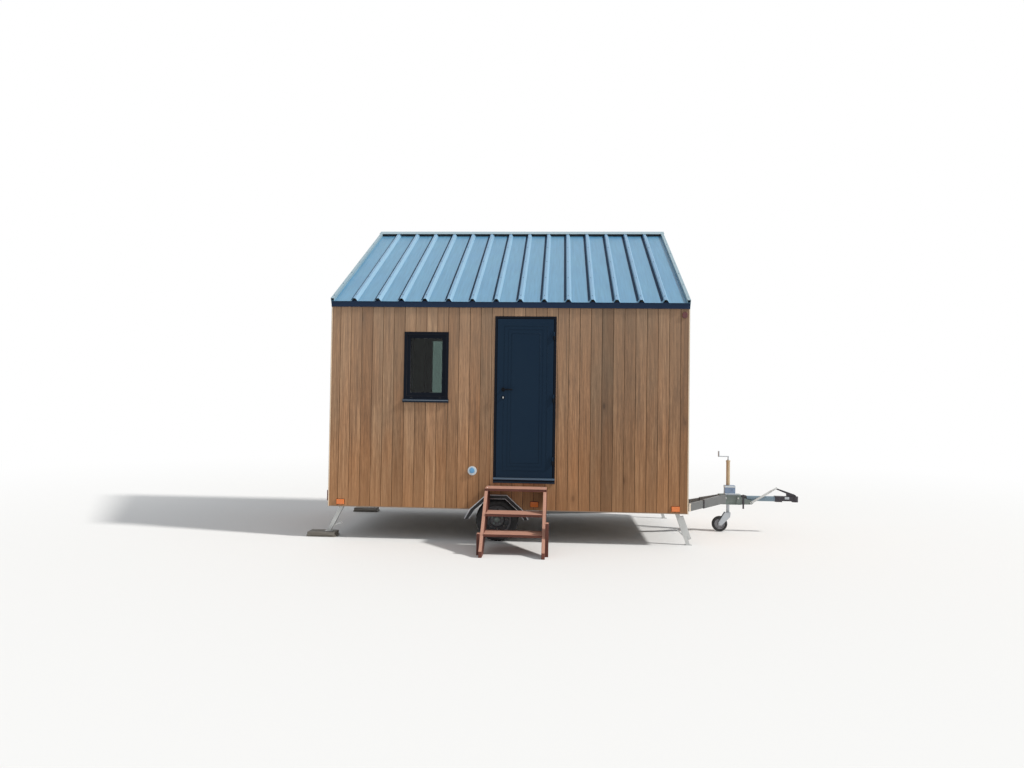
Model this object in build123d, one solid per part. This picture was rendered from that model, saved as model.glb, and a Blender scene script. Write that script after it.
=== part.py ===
from build123d import *

import os
from math import atan, cos, degrees, hypot, pi, radians, sin, tan

# A small timber-clad house on a single-axle trailer chassis, with a ribbed mono-pitch roof.

os.makedirs("parts", exist_ok=True)

# House body, millimetres. X runs from the rear end to the hitch, Y from the door side to the back.
BODY_LENGTH = 4400
BODY_WIDTH = 2500
SKIRT_Z = 407
FLOOR_TOP_Z = 745
FLOOR_THICKNESS = 145
WALL_TOP_Z = 2868
WALL_THICKNESS = 110
CLADDING = 20

# Roof
ROOF_ANGLE = 28.6
DECK_DEPTH = 85
EAVE_REACH = 35
HIGH_REACH = 30
SHEET = 2
RIB_BAYS = 15
RIB_BASE = 80
RIB_TOP = 30
RIB_HEIGHT = 40
TRIM = 3
RAKE_TOP_FLANGE = 38
RAKE_DROP = 84
FLASHING_FLANGE = 110
FLASHING_DROP = 110
FLASHING_OVERSAIL = 12
FASCIA_DEPTH = 20

# Door in the front wall
DOOR_X = 2042
DOOR_WIDTH = 753
DOOR_TOP_Z = 2764
DOOR_FRAME_FACE = 28
DOOR_FRAME_DEPTH = 75
DOOR_FRAME_PROUD = 6
DOOR_SILL_Z = 728
DOOR_SILL_REACH = 24
LEAF_THICKNESS = 48
LEAF_GAP = 5
THRESHOLD_HEIGHT = 45
PANEL_BORDER = 128
PANEL_GROOVE = 9
HINGE_RADIUS = 9
HINGE_PIN = 4
HINGE_HEIGHT = 96
HINGE_FROM_EDGE = 206
HINGE_PLATE = 24
LEVER_HEIGHT = 1070
LEVER_FROM_EDGE = 78
LEVER_ARM = 115

# Windows
WINDOW_X = 920
WINDOW_WIDTH = 552
WINDOW_Z = 1737
WINDOW_HEIGHT = 826
WINDOW_FRAME_FACE = 34
WINDOW_FRAME_DEPTH = 70
SASH_FACE = 44
SASH_DEPTH = 50
SASH_INSET = 6
GLASS = 24
WINDOW_SILL_REACH = 30
WINDOW_SILL_HEIGHT = 44
WINDOW_SILL_OVERHANG = 8
BACK_WINDOW_X = 750
BACK_WINDOW_Z = 1740
BACK_WINDOW_HEIGHT = 985

# Chassis
RAIL_Y = 500
RAIL_WIDTH = 60
RAIL_HEIGHT = 208
RAIL_END = 90
RAIL_WALL = 6
CROSSMEMBER_COUNT = 5
CROSSMEMBER_WIDTH = 50
CROSSMEMBER_HEIGHT = 90
OUTRIGGER_WIDTH = 110
OUTRIGGER_HEIGHT = 40

# Running gear
AXLE_X = 2090
TYRE_RADIUS = 262.5
TYRE_WIDTH = 195
RIM_RADIUS = 165
RIM_WALL = 6
RIM_SLOT_CIRCLE = 118
WHEEL_SET_IN = 75
STUB_RADIUS = 17.5
AXLE_TUBE_RADIUS = 45
AXLE_TUBE_AHEAD = 150
ARM_WIDTH = 60
ARM_DEPTH = 56
ARM_GAP = 25
FIT = 0.05
SEAT = 0.3

# Mudguard, half of its outline from the crown outwards
GUARD_CROWN = (126, 580)
GUARD_SHOULDER = (323, 400)
GUARD_END = (390, 280)
GUARD_LIP = 50
GUARD_SHEET = 5
GUARD_PROUD = 10

# Corner steadies
STEADY_Y = 175
STEADY_PIVOT_Z = 485
STEADY_REAR_X = 182
STEADY_REAR_SPLAY = 27
STEADY_HITCH_INSET = 142
STEADY_HITCH_SPLAY = 19.5
STEADY_TUBE = (48, 44)
STEADY_WALL = 3
STEADY_TUBE_LENGTH = 395
STEADY_HEAD = 30
STEADY_OVERLAP = 190
STEADY_SLIDE_FIT = 0.4
STEADY_PIN = 6
STEADY_CHEEK = 6
STEADY_FOOT = (84, 62, 6)
STEADY_RELEASE = (112, 22, 13)
STEADY_RELEASE_REAR_TILT = 46
STEADY_RELEASE_HITCH_TILT = 62
STEADY_STRUT_WIDTH = 37
STEADY_STRUT_DEPTH = 36
STEADY_STRUT_REACH = (160, 455)
PAD_HEIGHT = 60
PAD_LOWER_BOARD = 22
PAD_BOARD_STEP = 14
PAD_LENGTH = 342
PAD_WIDTH = 200
PAD_OUTSET = 280

# A-frame and overrun hitch
A_FRAME_DEPTH = 102
A_FRAME_WIDTH = 50
A_FRAME_BEHIND_AXLE_TUBE = 360
A_FRAME_LIFT = 110
A_FRAME_KNEE_REACH = 200
A_FRAME_SLEEVE_REACH = 390
A_FRAME_SLEEVE = 6
A_FRAME_APEX_REACH = 690
HOUSING_REACH = 614
HOUSING_LENGTH = 290
HOUSING_WIDTH = 96
HOUSING_TOP_Z = 508
HOUSING_HEIGHT = 136
HOUSING_FLANGE_LENGTH = 160
DRAWBAR_RADIUS = 35
DRAWBAR_Z = 456
COUPLING_REACH = 1362
COUPLING_LENGTH = 311
COUPLING_WIDTH = 84
COUPLING_HEIGHT = 76
COUPLING_CLAMP = 90
LATCH_FOOT = 112
LATCH_RISE = 106
LATCH_BAR = 14
BALL_RADIUS = 25
SOCKET_DEPTH = 32
GAITER_LENGTH = 80
GAITER_FOLDS = 5
GAITER_RADIUS = 45
HANDBRAKE_REACH = 1040
HANDBRAKE_Z = 405
HANDBRAKE_LENGTH = 396
HANDBRAKE_TILT = 31.5
HANDBRAKE_BAR = (28, 8)
HANDBRAKE_PIN = 6
HANDBRAKE_GAP = 4
HANDBRAKE_CHEEK = 8

# Jockey wheel
JOCKEY_REACH = 741
JOCKEY_TUBE_RADIUS = 25
JOCKEY_TUBE_WALL = 3.5
JOCKEY_TUBE_TOP_Z = 964
JOCKEY_CLAMP = (136, 90, 118)
JOCKEY_CLAMP_AHEAD = 21
JOCKEY_STEM_Z = 262
JOCKEY_STEM_LENGTH = 480
JOCKEY_SWIVEL_PIN = 12
JOCKEY_SWIVEL_DEPTH = 60
JOCKEY_CROWN = 26
JOCKEY_CHEEK = 5
JOCKEY_WHEEL_RADIUS = 104
JOCKEY_WHEEL_WIDTH = 50
JOCKEY_TRAIL = 110
JOCKEY_AXLE = 8
CRANK_SHAFT = 8
CRANK_Z = 1016
CRANK_ARM = 126
CRANK_GRIP = (11, 78)

# Entrance steps
STEPS_X = 1972
STEPS_WIDTH = 730
STEP_TREAD = 30
STEP_TOPS = (690, 433, 235)
STEP_FRONTS = (300, 575, 775)
STEP_DEPTH = 300
STRINGER_THICKNESS = 38
STRINGER_WIDTH = 150
STRINGER_FOOT_REACH = 930
STEP_LEG_THICKNESS = 36
STEP_LEG_WIDTH = 95
STEP_LEG_REACH = 795
STEP_LEG_HEIGHTS = (240, 370)

# Lamps and fittings on the cladding
MARKER_SIZE = (98, 12, 62)
REAR_MARKER = (155, 455)
MIDDLE_MARKER = (2551, 473)
HITCH_MARKER = (151, 455)
RED_LAMP_INSET = 61
RED_LAMP_Z = 2792
RED_LAMP_SIZE = (60, 16, 72)
RED_LAMP_ROUNDING = 22
INLET_PLACE = (1787, 868)
INLET_RADIUS = 55
INLET_DEPTH = 26
REAR_LAMP_SIZE = (26, 130, 130)
REAR_LAMP_Z = 460
REAR_LAMP_INSET = 30

PITCH_TAN = tan(radians(ROOF_ANGLE))
PITCH_COS = cos(radians(ROOF_ANGLE))
PITCH_SIN = sin(radians(ROOF_ANGLE))
DECK_UNDER_Z = FLOOR_TOP_Z - FLOOR_THICKNESS
STEP_WALL_GAP = GUARD_PROUD + SEAT
INNER_FACE = CLADDING + WALL_THICKNESS
DOOR_RIGHT_X = DOOR_X + DOOR_WIDTH
CENTRE_Y = BODY_WIDTH / 2
RAIL_BOTTOM_Z = DECK_UNDER_Z - RAIL_HEIGHT
WHEEL_Y = WHEEL_SET_IN + TYRE_WIDTH / 2
AXLE_TUBE_Z = RAIL_BOTTOM_Z - AXLE_TUBE_RADIUS
HINGE_X = DOOR_RIGHT_X - DOOR_FRAME_FACE - LEAF_GAP / 2
HINGE_Y = -DOOR_FRAME_PROUD - HINGE_RADIUS - 1
LEVER_X = DOOR_X + DOOR_FRAME_FACE + LEAF_GAP + LEVER_FROM_EDGE
LEAF_Z = FLOOR_TOP_Z + THRESHOLD_HEIGHT + LEAF_GAP
LEVER_Z = LEAF_Z + LEVER_HEIGHT
HOUSING_BOTTOM_Z = HOUSING_TOP_Z - HOUSING_HEIGHT
JOCKEY_X = BODY_LENGTH + JOCKEY_REACH
JOCKEY_AXLE_X = JOCKEY_X - JOCKEY_TRAIL
HOUSING_X = BODY_LENGTH + HOUSING_REACH
COUPLING_X = BODY_LENGTH + COUPLING_REACH
HANDBRAKE_X = BODY_LENGTH + HANDBRAKE_REACH
A_FRAME_START_X = AXLE_X + AXLE_TUBE_AHEAD + A_FRAME_BEHIND_AXLE_TUBE
A_FRAME_APEX_X = BODY_LENGTH + A_FRAME_APEX_REACH
STEADY_HITCH_X = BODY_LENGTH - STEADY_HITCH_INSET
FRONT_Y = (CLADDING, INNER_FACE)
BACK_Y = (BODY_WIDTH - INNER_FACE, BODY_WIDTH - CLADDING)
MARKER_PLACES = (REAR_MARKER, MIDDLE_MARKER, (BODY_LENGTH - HITCH_MARKER[0], HITCH_MARKER[1]))
STEADIES = (
    ("rear", STEADY_REAR_X, STEADY_REAR_SPLAY, -1),
    ("hitch", STEADY_HITCH_X, STEADY_HITCH_SPLAY, 1),
)
LOW_END = (Align.CENTER, Align.CENTER, Align.MIN)


def block(x, y, z):
    """A box between the low and high value on each axis."""
    size = (x[1] - x[0], y[1] - y[0], z[1] - z[0])
    return Pos(x[0], y[0], z[0]) * Box(*size, align=(Align.MIN, Align.MIN, Align.MIN))


def along_x(points, x):
    """A prism with (y, z) outline between two X values."""
    face = Plane.YZ.offset(x[0]) * make_face(Polyline(*points, close=True))
    return extrude(face, x[1] - x[0], dir=(1, 0, 0))


def along_y(points, y):
    """A prism with (x, z) outline between two Y values."""
    side = Plane(origin=(0, y[0], 0), x_dir=(1, 0, 0), z_dir=(0, -1, 0))
    face = side * make_face(Polyline(*points, close=True))
    return extrude(face, y[1] - y[0], dir=(0, 1, 0))


def rod_y(x, z, radius, y):
    """A round bar along Y between two Y values."""
    return Pos(x, y[0], z) * Rot(-90, 0, 0) * Cylinder(radius, y[1] - y[0], align=LOW_END)


def rod_z(x, y, radius, z):
    """A round bar along Z between two Z values."""
    return Pos(x, y, z[0]) * Cylinder(radius, z[1] - z[0], align=LOW_END)


def rod_x(y, z, radius, x):
    """A round bar along X between two X values."""
    return Pos(x[0], y, z) * Rot(0, 90, 0) * Cylinder(radius, x[1] - x[0], align=LOW_END)


def turned_y(points, x, y, z):
    """A ring turned about a Y axis from (radius, y) points."""
    face = Plane.XY * make_face(Polyline(*points, close=True))
    return Pos(x, y, z) * revolve(face, Axis.Y)


def mirror_y(shape):
    """The same piece on the other side of the house."""
    return mirror(shape, Plane.XZ.offset(-CENTRE_Y))


def both_sides(shape):
    """A piece and its mirror image."""
    return [shape, mirror_y(shape)]


def under_roof(y):
    """Height of the roof deck's underside at a Y."""
    return WALL_TOP_Z + y * PITCH_TAN


def roof_plane():
    """A plane on the deck with X along the house, Y up the slope and Z out of the roof."""
    return Plane(
        origin=(0, 0, WALL_TOP_Z + DECK_DEPTH), x_dir=(1, 0, 0), z_dir=(0, -PITCH_SIN, PITCH_COS)
    )


def up_slope(points, start, length):
    """A prism whose (x, height over the deck) outline runs up the slope."""
    deck = roof_plane()
    foot = deck.from_local_coords(Vector(0, start, 0))
    section = Plane(origin=foot, x_dir=(1, 0, 0), z_dir=-deck.y_dir)
    face = section * make_face(Polyline(*points, close=True))
    return extrude(face, length, dir=deck.y_dir)


def rails():
    """Two C-channel rails under the floor, open towards each other."""
    inner = RAIL_Y + RAIL_WIDTH / 2
    outer = RAIL_Y - RAIL_WIDTH / 2
    top = DECK_UNDER_Z
    low = RAIL_BOTTOM_Z
    outline = [
        (outer, low),
        (inner, low),
        (inner, low + RAIL_WALL),
        (outer + RAIL_WALL, low + RAIL_WALL),
        (outer + RAIL_WALL, top - RAIL_WALL),
        (inner, top - RAIL_WALL),
        (inner, top),
        (outer, top),
    ]
    return both_sides(along_x(outline, (RAIL_END, BODY_LENGTH - RAIL_END)))


def crossmembers():
    """Members between the rails."""
    first = RAIL_END + OUTRIGGER_WIDTH
    last = BODY_LENGTH - RAIL_END - OUTRIGGER_WIDTH
    step = (last - first) / (CROSSMEMBER_COUNT - 1)
    reach = (RAIL_Y + RAIL_WIDTH / 2, BODY_WIDTH - RAIL_Y - RAIL_WIDTH / 2)
    made = []
    for index in range(CROSSMEMBER_COUNT):
        x = first + index * step
        made.append(
            block(
                (x - CROSSMEMBER_WIDTH / 2, x + CROSSMEMBER_WIDTH / 2),
                reach,
                (DECK_UNDER_Z - CROSSMEMBER_HEIGHT, DECK_UNDER_Z),
            )
        )
    return made


def outriggers():
    """Flat arms from the rails to the corners, which carry the steadies."""
    made = []
    for x in (STEADY_REAR_X, STEADY_HITCH_X):
        arm = block(
            (x - OUTRIGGER_WIDTH / 2, x + OUTRIGGER_WIDTH / 2),
            (CLADDING, RAIL_Y - RAIL_WIDTH / 2),
            (DECK_UNDER_Z - OUTRIGGER_HEIGHT, DECK_UNDER_Z),
        )
        made += both_sides(arm)
    return made


def axle():
    """The torsion axle: a tube under the rails with a trailing arm and a stub at each end."""
    tube_x = AXLE_X + AXLE_TUBE_AHEAD
    arm_y = (WHEEL_SET_IN + TYRE_WIDTH + ARM_GAP, WHEEL_SET_IN + TYRE_WIDTH + ARM_GAP + ARM_WIDTH)
    tube = rod_y(tube_x, AXLE_TUBE_Z, AXLE_TUBE_RADIUS, (arm_y[0], BODY_WIDTH - arm_y[0]))
    length = hypot(AXLE_TUBE_AHEAD, AXLE_TUBE_Z - TYRE_RADIUS)
    tilt = degrees(atan((AXLE_TUBE_Z - TYRE_RADIUS) / AXLE_TUBE_AHEAD))
    arm = block((-ARM_DEPTH / 2, length), (0, ARM_WIDTH), (-ARM_DEPTH / 2, ARM_DEPTH / 2))
    arm = Pos(AXLE_X, arm_y[0], TYRE_RADIUS) * Rot(0, -tilt, 0) * arm
    stub = rod_y(AXLE_X, TYRE_RADIUS, STUB_RADIUS, (WHEEL_Y - 30, arm_y[0] + 1))
    side = arm + stub
    return [tube + side + mirror_y(side)]


def tyre():
    """A road tyre with rounded shoulders and tread grooves."""
    half = TYRE_WIDTH / 2
    bead = RIM_RADIUS + SEAT
    face = make_face(
        Polyline(
            (bead, -half + 22),
            (bead + 22, -half + 6),
            (bead + 50, -half),
            (TYRE_RADIUS - 22, -half + 8),
            (TYRE_RADIUS - 7, -half + 20),
            (TYRE_RADIUS, -half + 38),
            (TYRE_RADIUS, half - 38),
            (TYRE_RADIUS - 7, half - 20),
            (TYRE_RADIUS - 22, half - 8),
            (bead + 50, half),
            (bead + 22, half - 6),
            (bead, half - 22),
            close=True,
        )
    )
    grooves = [Pos(TYRE_RADIUS - 4, place, 0) * Rectangle(9, 8) for place in (-36, 0, 36)]
    return Pos(AXLE_X, WHEEL_Y, TYRE_RADIUS) * revolve(face - grooves, Axis.Y)


def rim():
    """A pressed steel wheel: barrel with flanges, dished disc, hub and bolt holes."""
    half = TYRE_WIDTH / 2
    points = [
        (RIM_RADIUS, -half + 20),
        (RIM_RADIUS + 10, -half + 10),
        (RIM_RADIUS + 10, -half + 4),
        (RIM_RADIUS - RIM_WALL, -half + 8),
        (RIM_RADIUS - RIM_WALL, -12),
        (96, -22),
        (84, -44),
        (46, -44),
        (46, -58),
        (STUB_RADIUS + FIT, -58),
        (STUB_RADIUS + FIT, 40),
        (46, 40),
        (46, -36),
        (80, -36),
        (90, -14),
        (RIM_RADIUS - RIM_WALL, -4),
        (RIM_RADIUS - RIM_WALL, half - 8),
        (RIM_RADIUS + 10, half - 4),
        (RIM_RADIUS + 10, half - 10),
        (RIM_RADIUS, half - 20),
    ]
    wheel = turned_y(points, AXLE_X, WHEEL_Y, TYRE_RADIUS)
    slots = []
    for index in range(8):
        angle = 2 * pi * index / 8
        x = AXLE_X + RIM_SLOT_CIRCLE * cos(angle)
        z = TYRE_RADIUS + RIM_SLOT_CIRCLE * sin(angle)
        slots.append(rod_y(x, z, 13, (WHEEL_Y - 60, WHEEL_Y + 20)))
    return wheel - slots


def guard_outline(inset):
    """Mudguard outline points, from the rear end over the crown, moved in by an inset."""
    crown = (GUARD_CROWN[0] - 0.42 * inset, GUARD_CROWN[1] - inset)
    shoulder = (GUARD_SHOULDER[0] - inset * 1.22, GUARD_SHOULDER[1] - inset * 0.12)
    end = (GUARD_END[0] - inset * 1.1, GUARD_END[1])
    right = [(AXLE_X + x, z) for x, z in (crown, shoulder, end)]
    left = [(2 * AXLE_X - x, z) for x, z in reversed(right)]
    return left + right


def mudguard():
    """A faceted mudguard: a folded sheet over the tyre with a flat lip on its outer face."""
    outer = guard_outline(0)
    inner = guard_outline(GUARD_SHEET)
    deep = guard_outline(GUARD_LIP)
    sheet = along_y(outer + inner[::-1], (-GUARD_PROUD, WHEEL_SET_IN + TYRE_WIDTH + 15))
    lip = along_y(outer + deep[::-1], (-GUARD_PROUD, -GUARD_PROUD + GUARD_SHEET))
    return sheet + lip


def steady_frame(x, splay, side):
    """A frame at a steady's pivot with Z up its leg; side is 1 at the hitch end and -1 at the rear."""
    return Pos(x, STEADY_Y, STEADY_PIVOT_Z) * Rot(0, -side * splay, 0)


def steady_bracket(x):
    """Two cheeks and a top plate that carry the steady's pivot pin."""
    half = STEADY_TUBE[1] / 2 + 2
    outer = half + STEADY_CHEEK
    top = DECK_UNDER_Z - OUTRIGGER_HEIGHT
    plate = block((x - 45, x + 45), (STEADY_Y - outer, STEADY_Y + outer), (top - 8, top))
    cheek_z = (STEADY_PIVOT_Z - 18, top - 8)
    low = block((x - 24, x + 24), (STEADY_Y - outer, STEADY_Y - half), cheek_z)
    high = block((x - 24, x + 24), (STEADY_Y + half, STEADY_Y + outer), cheek_z)
    pin = rod_y(x, STEADY_PIVOT_Z, STEADY_PIN, (STEADY_Y - outer - 6, STEADY_Y + outer + 6))
    return plate + low + high + pin


def steady_leg(x, splay, side):
    """The outer tube of a steady with its release lever, and at the hitch end a strut beside it."""
    wide, deep = STEADY_TUBE
    bore = (wide - 2 * STEADY_WALL, deep - 2 * STEADY_WALL)
    z = (-STEADY_TUBE_LENGTH, STEADY_HEAD)
    tube = block((-wide / 2, wide / 2), (-deep / 2, deep / 2), z)
    tube -= block((-bore[0] / 2, bore[0] / 2), (-bore[1] / 2, bore[1] / 2), (z[0] - 1, z[1] + 1))
    tube -= rod_y(0, 0, STEADY_PIN + FIT, (-deep, deep))
    length, width, thick = STEADY_RELEASE
    tilt = STEADY_RELEASE_REAR_TILT if side < 0 else STEADY_RELEASE_HITCH_TILT
    lever = Pos(-side * (wide / 2 - 1), 0, -STEADY_TUBE_LENGTH + 16) * Rot(0, side * tilt, 0)
    bar = block(sorted((0, -side * length)), (-width / 2, width / 2), (-thick / 2, thick / 2))
    grip = lever * bar - block((-wide / 2 + 1, wide / 2 - 1), (-deep / 2 + 1, deep / 2 - 1), z)
    leg = tube + grip
    if side > 0:
        strut_x = (wide / 2 - 1, wide / 2 - 1 + STEADY_STRUT_WIDTH)
        strut_y = (-STEADY_STRUT_DEPTH / 2, STEADY_STRUT_DEPTH / 2)
        leg += block(strut_x, strut_y, (-STEADY_STRUT_REACH[1], -STEADY_STRUT_REACH[0]))
    return steady_frame(x, splay, side) * leg


def steady_foot_z(side):
    """Height of the surface that a steady's foot stands on."""
    return PAD_HEIGHT if side < 0 else 0


def steady_inner(x, splay, side):
    """The inner tube of a steady with its level foot plate."""
    wide = STEADY_TUBE[0] - 2 * STEADY_WALL - 2 * STEADY_SLIDE_FIT
    deep = STEADY_TUBE[1] - 2 * STEADY_WALL - 2 * STEADY_SLIDE_FIT
    ground = steady_foot_z(side) + SEAT
    length = (STEADY_PIVOT_Z - ground) / cos(radians(splay))
    top = -STEADY_TUBE_LENGTH + STEADY_OVERLAP
    bar = block((-wide / 2, wide / 2), (-deep / 2, deep / 2), (-length - 30, top))
    hollow = block(
        (-wide / 2 + STEADY_WALL, wide / 2 - STEADY_WALL),
        (-deep / 2 + STEADY_WALL, deep / 2 - STEADY_WALL),
        (-length - 31, top + 1),
    )
    leg = steady_frame(x, splay, side) * (bar - hollow)
    foot_x = x + side * (STEADY_PIVOT_Z - ground) * tan(radians(splay))
    plate = block(
        (foot_x - STEADY_FOOT[0] / 2, foot_x + STEADY_FOOT[0] / 2),
        (STEADY_Y - STEADY_FOOT[1] / 2, STEADY_Y + STEADY_FOOT[1] / 2),
        (ground, ground + STEADY_FOOT[2]),
    )
    below = block((foot_x - wide * 4, foot_x + wide * 4), (0, 2 * STEADY_Y), (ground - wide * 2, ground))
    return leg + plate - below


def pads():
    """Two weathered boards, one on the other, under each of the rear steadies."""
    x = (-PAD_OUTSET, -PAD_OUTSET + PAD_LENGTH)
    y = (STEADY_Y - PAD_WIDTH / 2, STEADY_Y + PAD_WIDTH / 2)
    step = PAD_BOARD_STEP
    pad = block(x, y, (PAD_LOWER_BOARD, PAD_HEIGHT))
    pad += block((x[0] - step, x[1] + step), (y[0] + step, y[1] - step), (0, PAD_LOWER_BOARD))
    return both_sides(pad)


def housing_block():
    """The outer block of the overrun housing, where the A-frame meets."""
    return block(
        (HOUSING_X, HOUSING_X + HOUSING_LENGTH),
        (CENTRE_Y - HOUSING_WIDTH / 2, CENTRE_Y + HOUSING_WIDTH / 2),
        (HOUSING_BOTTOM_Z, HOUSING_TOP_Z),
    )


def a_frame():
    """Two beams from under the rails, level to the wall and then rising in sleeves to the housing."""
    end_y = CENTRE_Y - HOUSING_WIDTH / 2
    angle = atan((end_y - RAIL_Y) / (A_FRAME_APEX_X - A_FRAME_START_X))
    top = RAIL_BOTTOM_Z
    length = (A_FRAME_APEX_X - A_FRAME_START_X) / cos(angle)
    knee = (BODY_LENGTH + A_FRAME_KNEE_REACH - A_FRAME_START_X) / cos(angle)
    sleeve = (BODY_LENGTH + A_FRAME_SLEEVE_REACH - A_FRAME_START_X) / cos(angle)
    sleeve_top = top + A_FRAME_LIFT * (sleeve - knee) / (length - knee) + A_FRAME_SLEEVE
    sleeve_end = top + A_FRAME_LIFT + A_FRAME_SLEEVE
    sleeve_depth = A_FRAME_DEPTH + 2 * A_FRAME_SLEEVE
    sleeve_view = [
        (sleeve, sleeve_top - sleeve_depth),
        (length, sleeve_end - sleeve_depth),
        (length, sleeve_end),
        (sleeve, sleeve_top),
    ]
    side_view = [
        (0, top - A_FRAME_DEPTH),
        (knee, top - A_FRAME_DEPTH),
        (length, top - A_FRAME_DEPTH + A_FRAME_LIFT),
        (length, top + A_FRAME_LIFT),
        (knee, top),
        (0, top),
    ]
    reach = A_FRAME_WIDTH / 2
    beam = along_y(side_view, (-reach, reach))
    beam += along_y(sleeve_view, (-reach - A_FRAME_SLEEVE, reach + A_FRAME_SLEEVE))
    placed = Pos(A_FRAME_START_X, end_y - length * sin(angle), 0) * Rot(0, 0, degrees(angle)) * beam
    half = block((0, 2 * BODY_LENGTH), (-BODY_WIDTH, CENTRE_Y - SEAT), (0, FLOOR_TOP_Z))
    return both_sides(placed & half - housing_block())


def overrun_housing():
    """The cast housing at the A-frame's apex, bored for the drawbar and the jockey tube."""
    flange = block(
        (HOUSING_X + HOUSING_LENGTH - HOUSING_FLANGE_LENGTH, HOUSING_X + HOUSING_LENGTH),
        (CENTRE_Y - HOUSING_WIDTH / 2 - 22, CENTRE_Y + HOUSING_WIDTH / 2 + 22),
        (HOUSING_BOTTOM_Z, HOUSING_BOTTOM_Z + 12),
    )
    cheek_x = (HOUSING_X + HOUSING_LENGTH - 60, HANDBRAKE_X + 26)
    cheek_y = (CENTRE_Y - HOUSING_WIDTH / 2 - HANDBRAKE_CHEEK, CENTRE_Y - HOUSING_WIDTH / 2)
    cheek = along_y(
        [
            (cheek_x[0], HOUSING_BOTTOM_Z),
            (cheek_x[1] - 20, HANDBRAKE_Z - 26),
            (cheek_x[1], HANDBRAKE_Z - 10),
            (cheek_x[1], HANDBRAKE_Z + 18),
            (cheek_x[0], DRAWBAR_Z + 40),
        ],
        cheek_y,
    )
    pin_y = (cheek_y[0] - HANDBRAKE_BAR[1] - HANDBRAKE_GAP - 3, cheek_y[1])
    pin = rod_y(HANDBRAKE_X, HANDBRAKE_Z, HANDBRAKE_PIN, pin_y)
    body = housing_block() + flange + cheek + pin
    body = body.cut(
        rod_x(CENTRE_Y, DRAWBAR_Z, DRAWBAR_RADIUS + SEAT, (JOCKEY_X + 40, HOUSING_X + HOUSING_LENGTH + 1)),
        rod_z(JOCKEY_X, CENTRE_Y, JOCKEY_TUBE_RADIUS + SEAT, (HOUSING_BOTTOM_Z - 1, HOUSING_TOP_Z + 1)),
    )
    return body


def jockey_clamp():
    """The split clamp over the housing that grips the jockey tube."""
    length, width, height = JOCKEY_CLAMP
    middle = JOCKEY_X + JOCKEY_CLAMP_AHEAD
    body = block(
        (middle - length / 2, middle + length / 2),
        (CENTRE_Y - width / 2, CENTRE_Y + width / 2),
        (HOUSING_TOP_Z, HOUSING_TOP_Z + height),
    )
    bolt = rod_y(JOCKEY_X + 48, HOUSING_TOP_Z + height / 2, 7, (CENTRE_Y - width / 2 - 34, CENTRE_Y))
    through = (HOUSING_TOP_Z - 1, HOUSING_TOP_Z + height + 1)
    hole = rod_z(JOCKEY_X, CENTRE_Y, JOCKEY_TUBE_RADIUS + SEAT, through)
    slit = block((JOCKEY_X + 10, JOCKEY_X + length), (CENTRE_Y - 2, CENTRE_Y + 2), through)
    return (body + bolt) - hole - slit


def jockey_tube():
    """The outer tube of the jockey wheel, closed at the top round the crank shaft."""
    bore = JOCKEY_TUBE_RADIUS - JOCKEY_TUBE_WALL
    tube = rod_z(JOCKEY_X, CENTRE_Y, JOCKEY_TUBE_RADIUS, (HOUSING_BOTTOM_Z, JOCKEY_TUBE_TOP_Z))
    collar = rod_z(JOCKEY_X, CENTRE_Y, JOCKEY_TUBE_RADIUS + 4, (JOCKEY_TUBE_TOP_Z - 18, JOCKEY_TUBE_TOP_Z))
    hollow = rod_z(JOCKEY_X, CENTRE_Y, bore, (HOUSING_BOTTOM_Z - 1, JOCKEY_TUBE_TOP_Z - 12))
    shaft = rod_z(JOCKEY_X, CENTRE_Y, CRANK_SHAFT + FIT, (JOCKEY_TUBE_TOP_Z - 13, JOCKEY_TUBE_TOP_Z + 1))
    return (tube + collar) - hollow - shaft


def jockey_stem():
    """The inner tube, which slides in the outer one."""
    radius = JOCKEY_TUBE_RADIUS - JOCKEY_TUBE_WALL - FIT
    z = (JOCKEY_STEM_Z, JOCKEY_STEM_Z + JOCKEY_STEM_LENGTH)
    socket = rod_z(JOCKEY_X, CENTRE_Y, JOCKEY_SWIVEL_PIN + FIT, (z[0] - 1, z[0] + JOCKEY_SWIVEL_DEPTH + 4))
    return rod_z(JOCKEY_X, CENTRE_Y, radius, z) - socket


def jockey_fork():
    """The swivelling fork: swivel pin, crown, two cheeks and the axle."""
    top = JOCKEY_STEM_Z - SEAT
    half = JOCKEY_WHEEL_WIDTH / 2 + 6
    outer = half + JOCKEY_CHEEK
    pin = rod_z(JOCKEY_X, CENTRE_Y, JOCKEY_SWIVEL_PIN, (top - 2, top + JOCKEY_SWIVEL_DEPTH))
    crown_y = (CENTRE_Y - outer, CENTRE_Y + outer)
    crown = block((JOCKEY_X - 36, JOCKEY_X + 30), crown_y, (top - JOCKEY_CROWN, top))
    outline = [
        (JOCKEY_X + 30, top),
        (JOCKEY_X + 26, top - 62),
        (JOCKEY_AXLE_X + 22, JOCKEY_WHEEL_RADIUS - 20),
        (JOCKEY_AXLE_X - 20, JOCKEY_WHEEL_RADIUS - 20),
        (JOCKEY_AXLE_X - 20, JOCKEY_WHEEL_RADIUS + 20),
        (JOCKEY_X - 44, top),
    ]
    cheeks = along_y(outline, (CENTRE_Y - outer, CENTRE_Y - half))
    cheeks += along_y(outline, (CENTRE_Y + half, CENTRE_Y + outer))
    axle_y = (CENTRE_Y - outer - 6, CENTRE_Y + outer + 6)
    return pin + crown + cheeks + rod_y(JOCKEY_AXLE_X, JOCKEY_WHEEL_RADIUS, JOCKEY_AXLE, axle_y)


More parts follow.
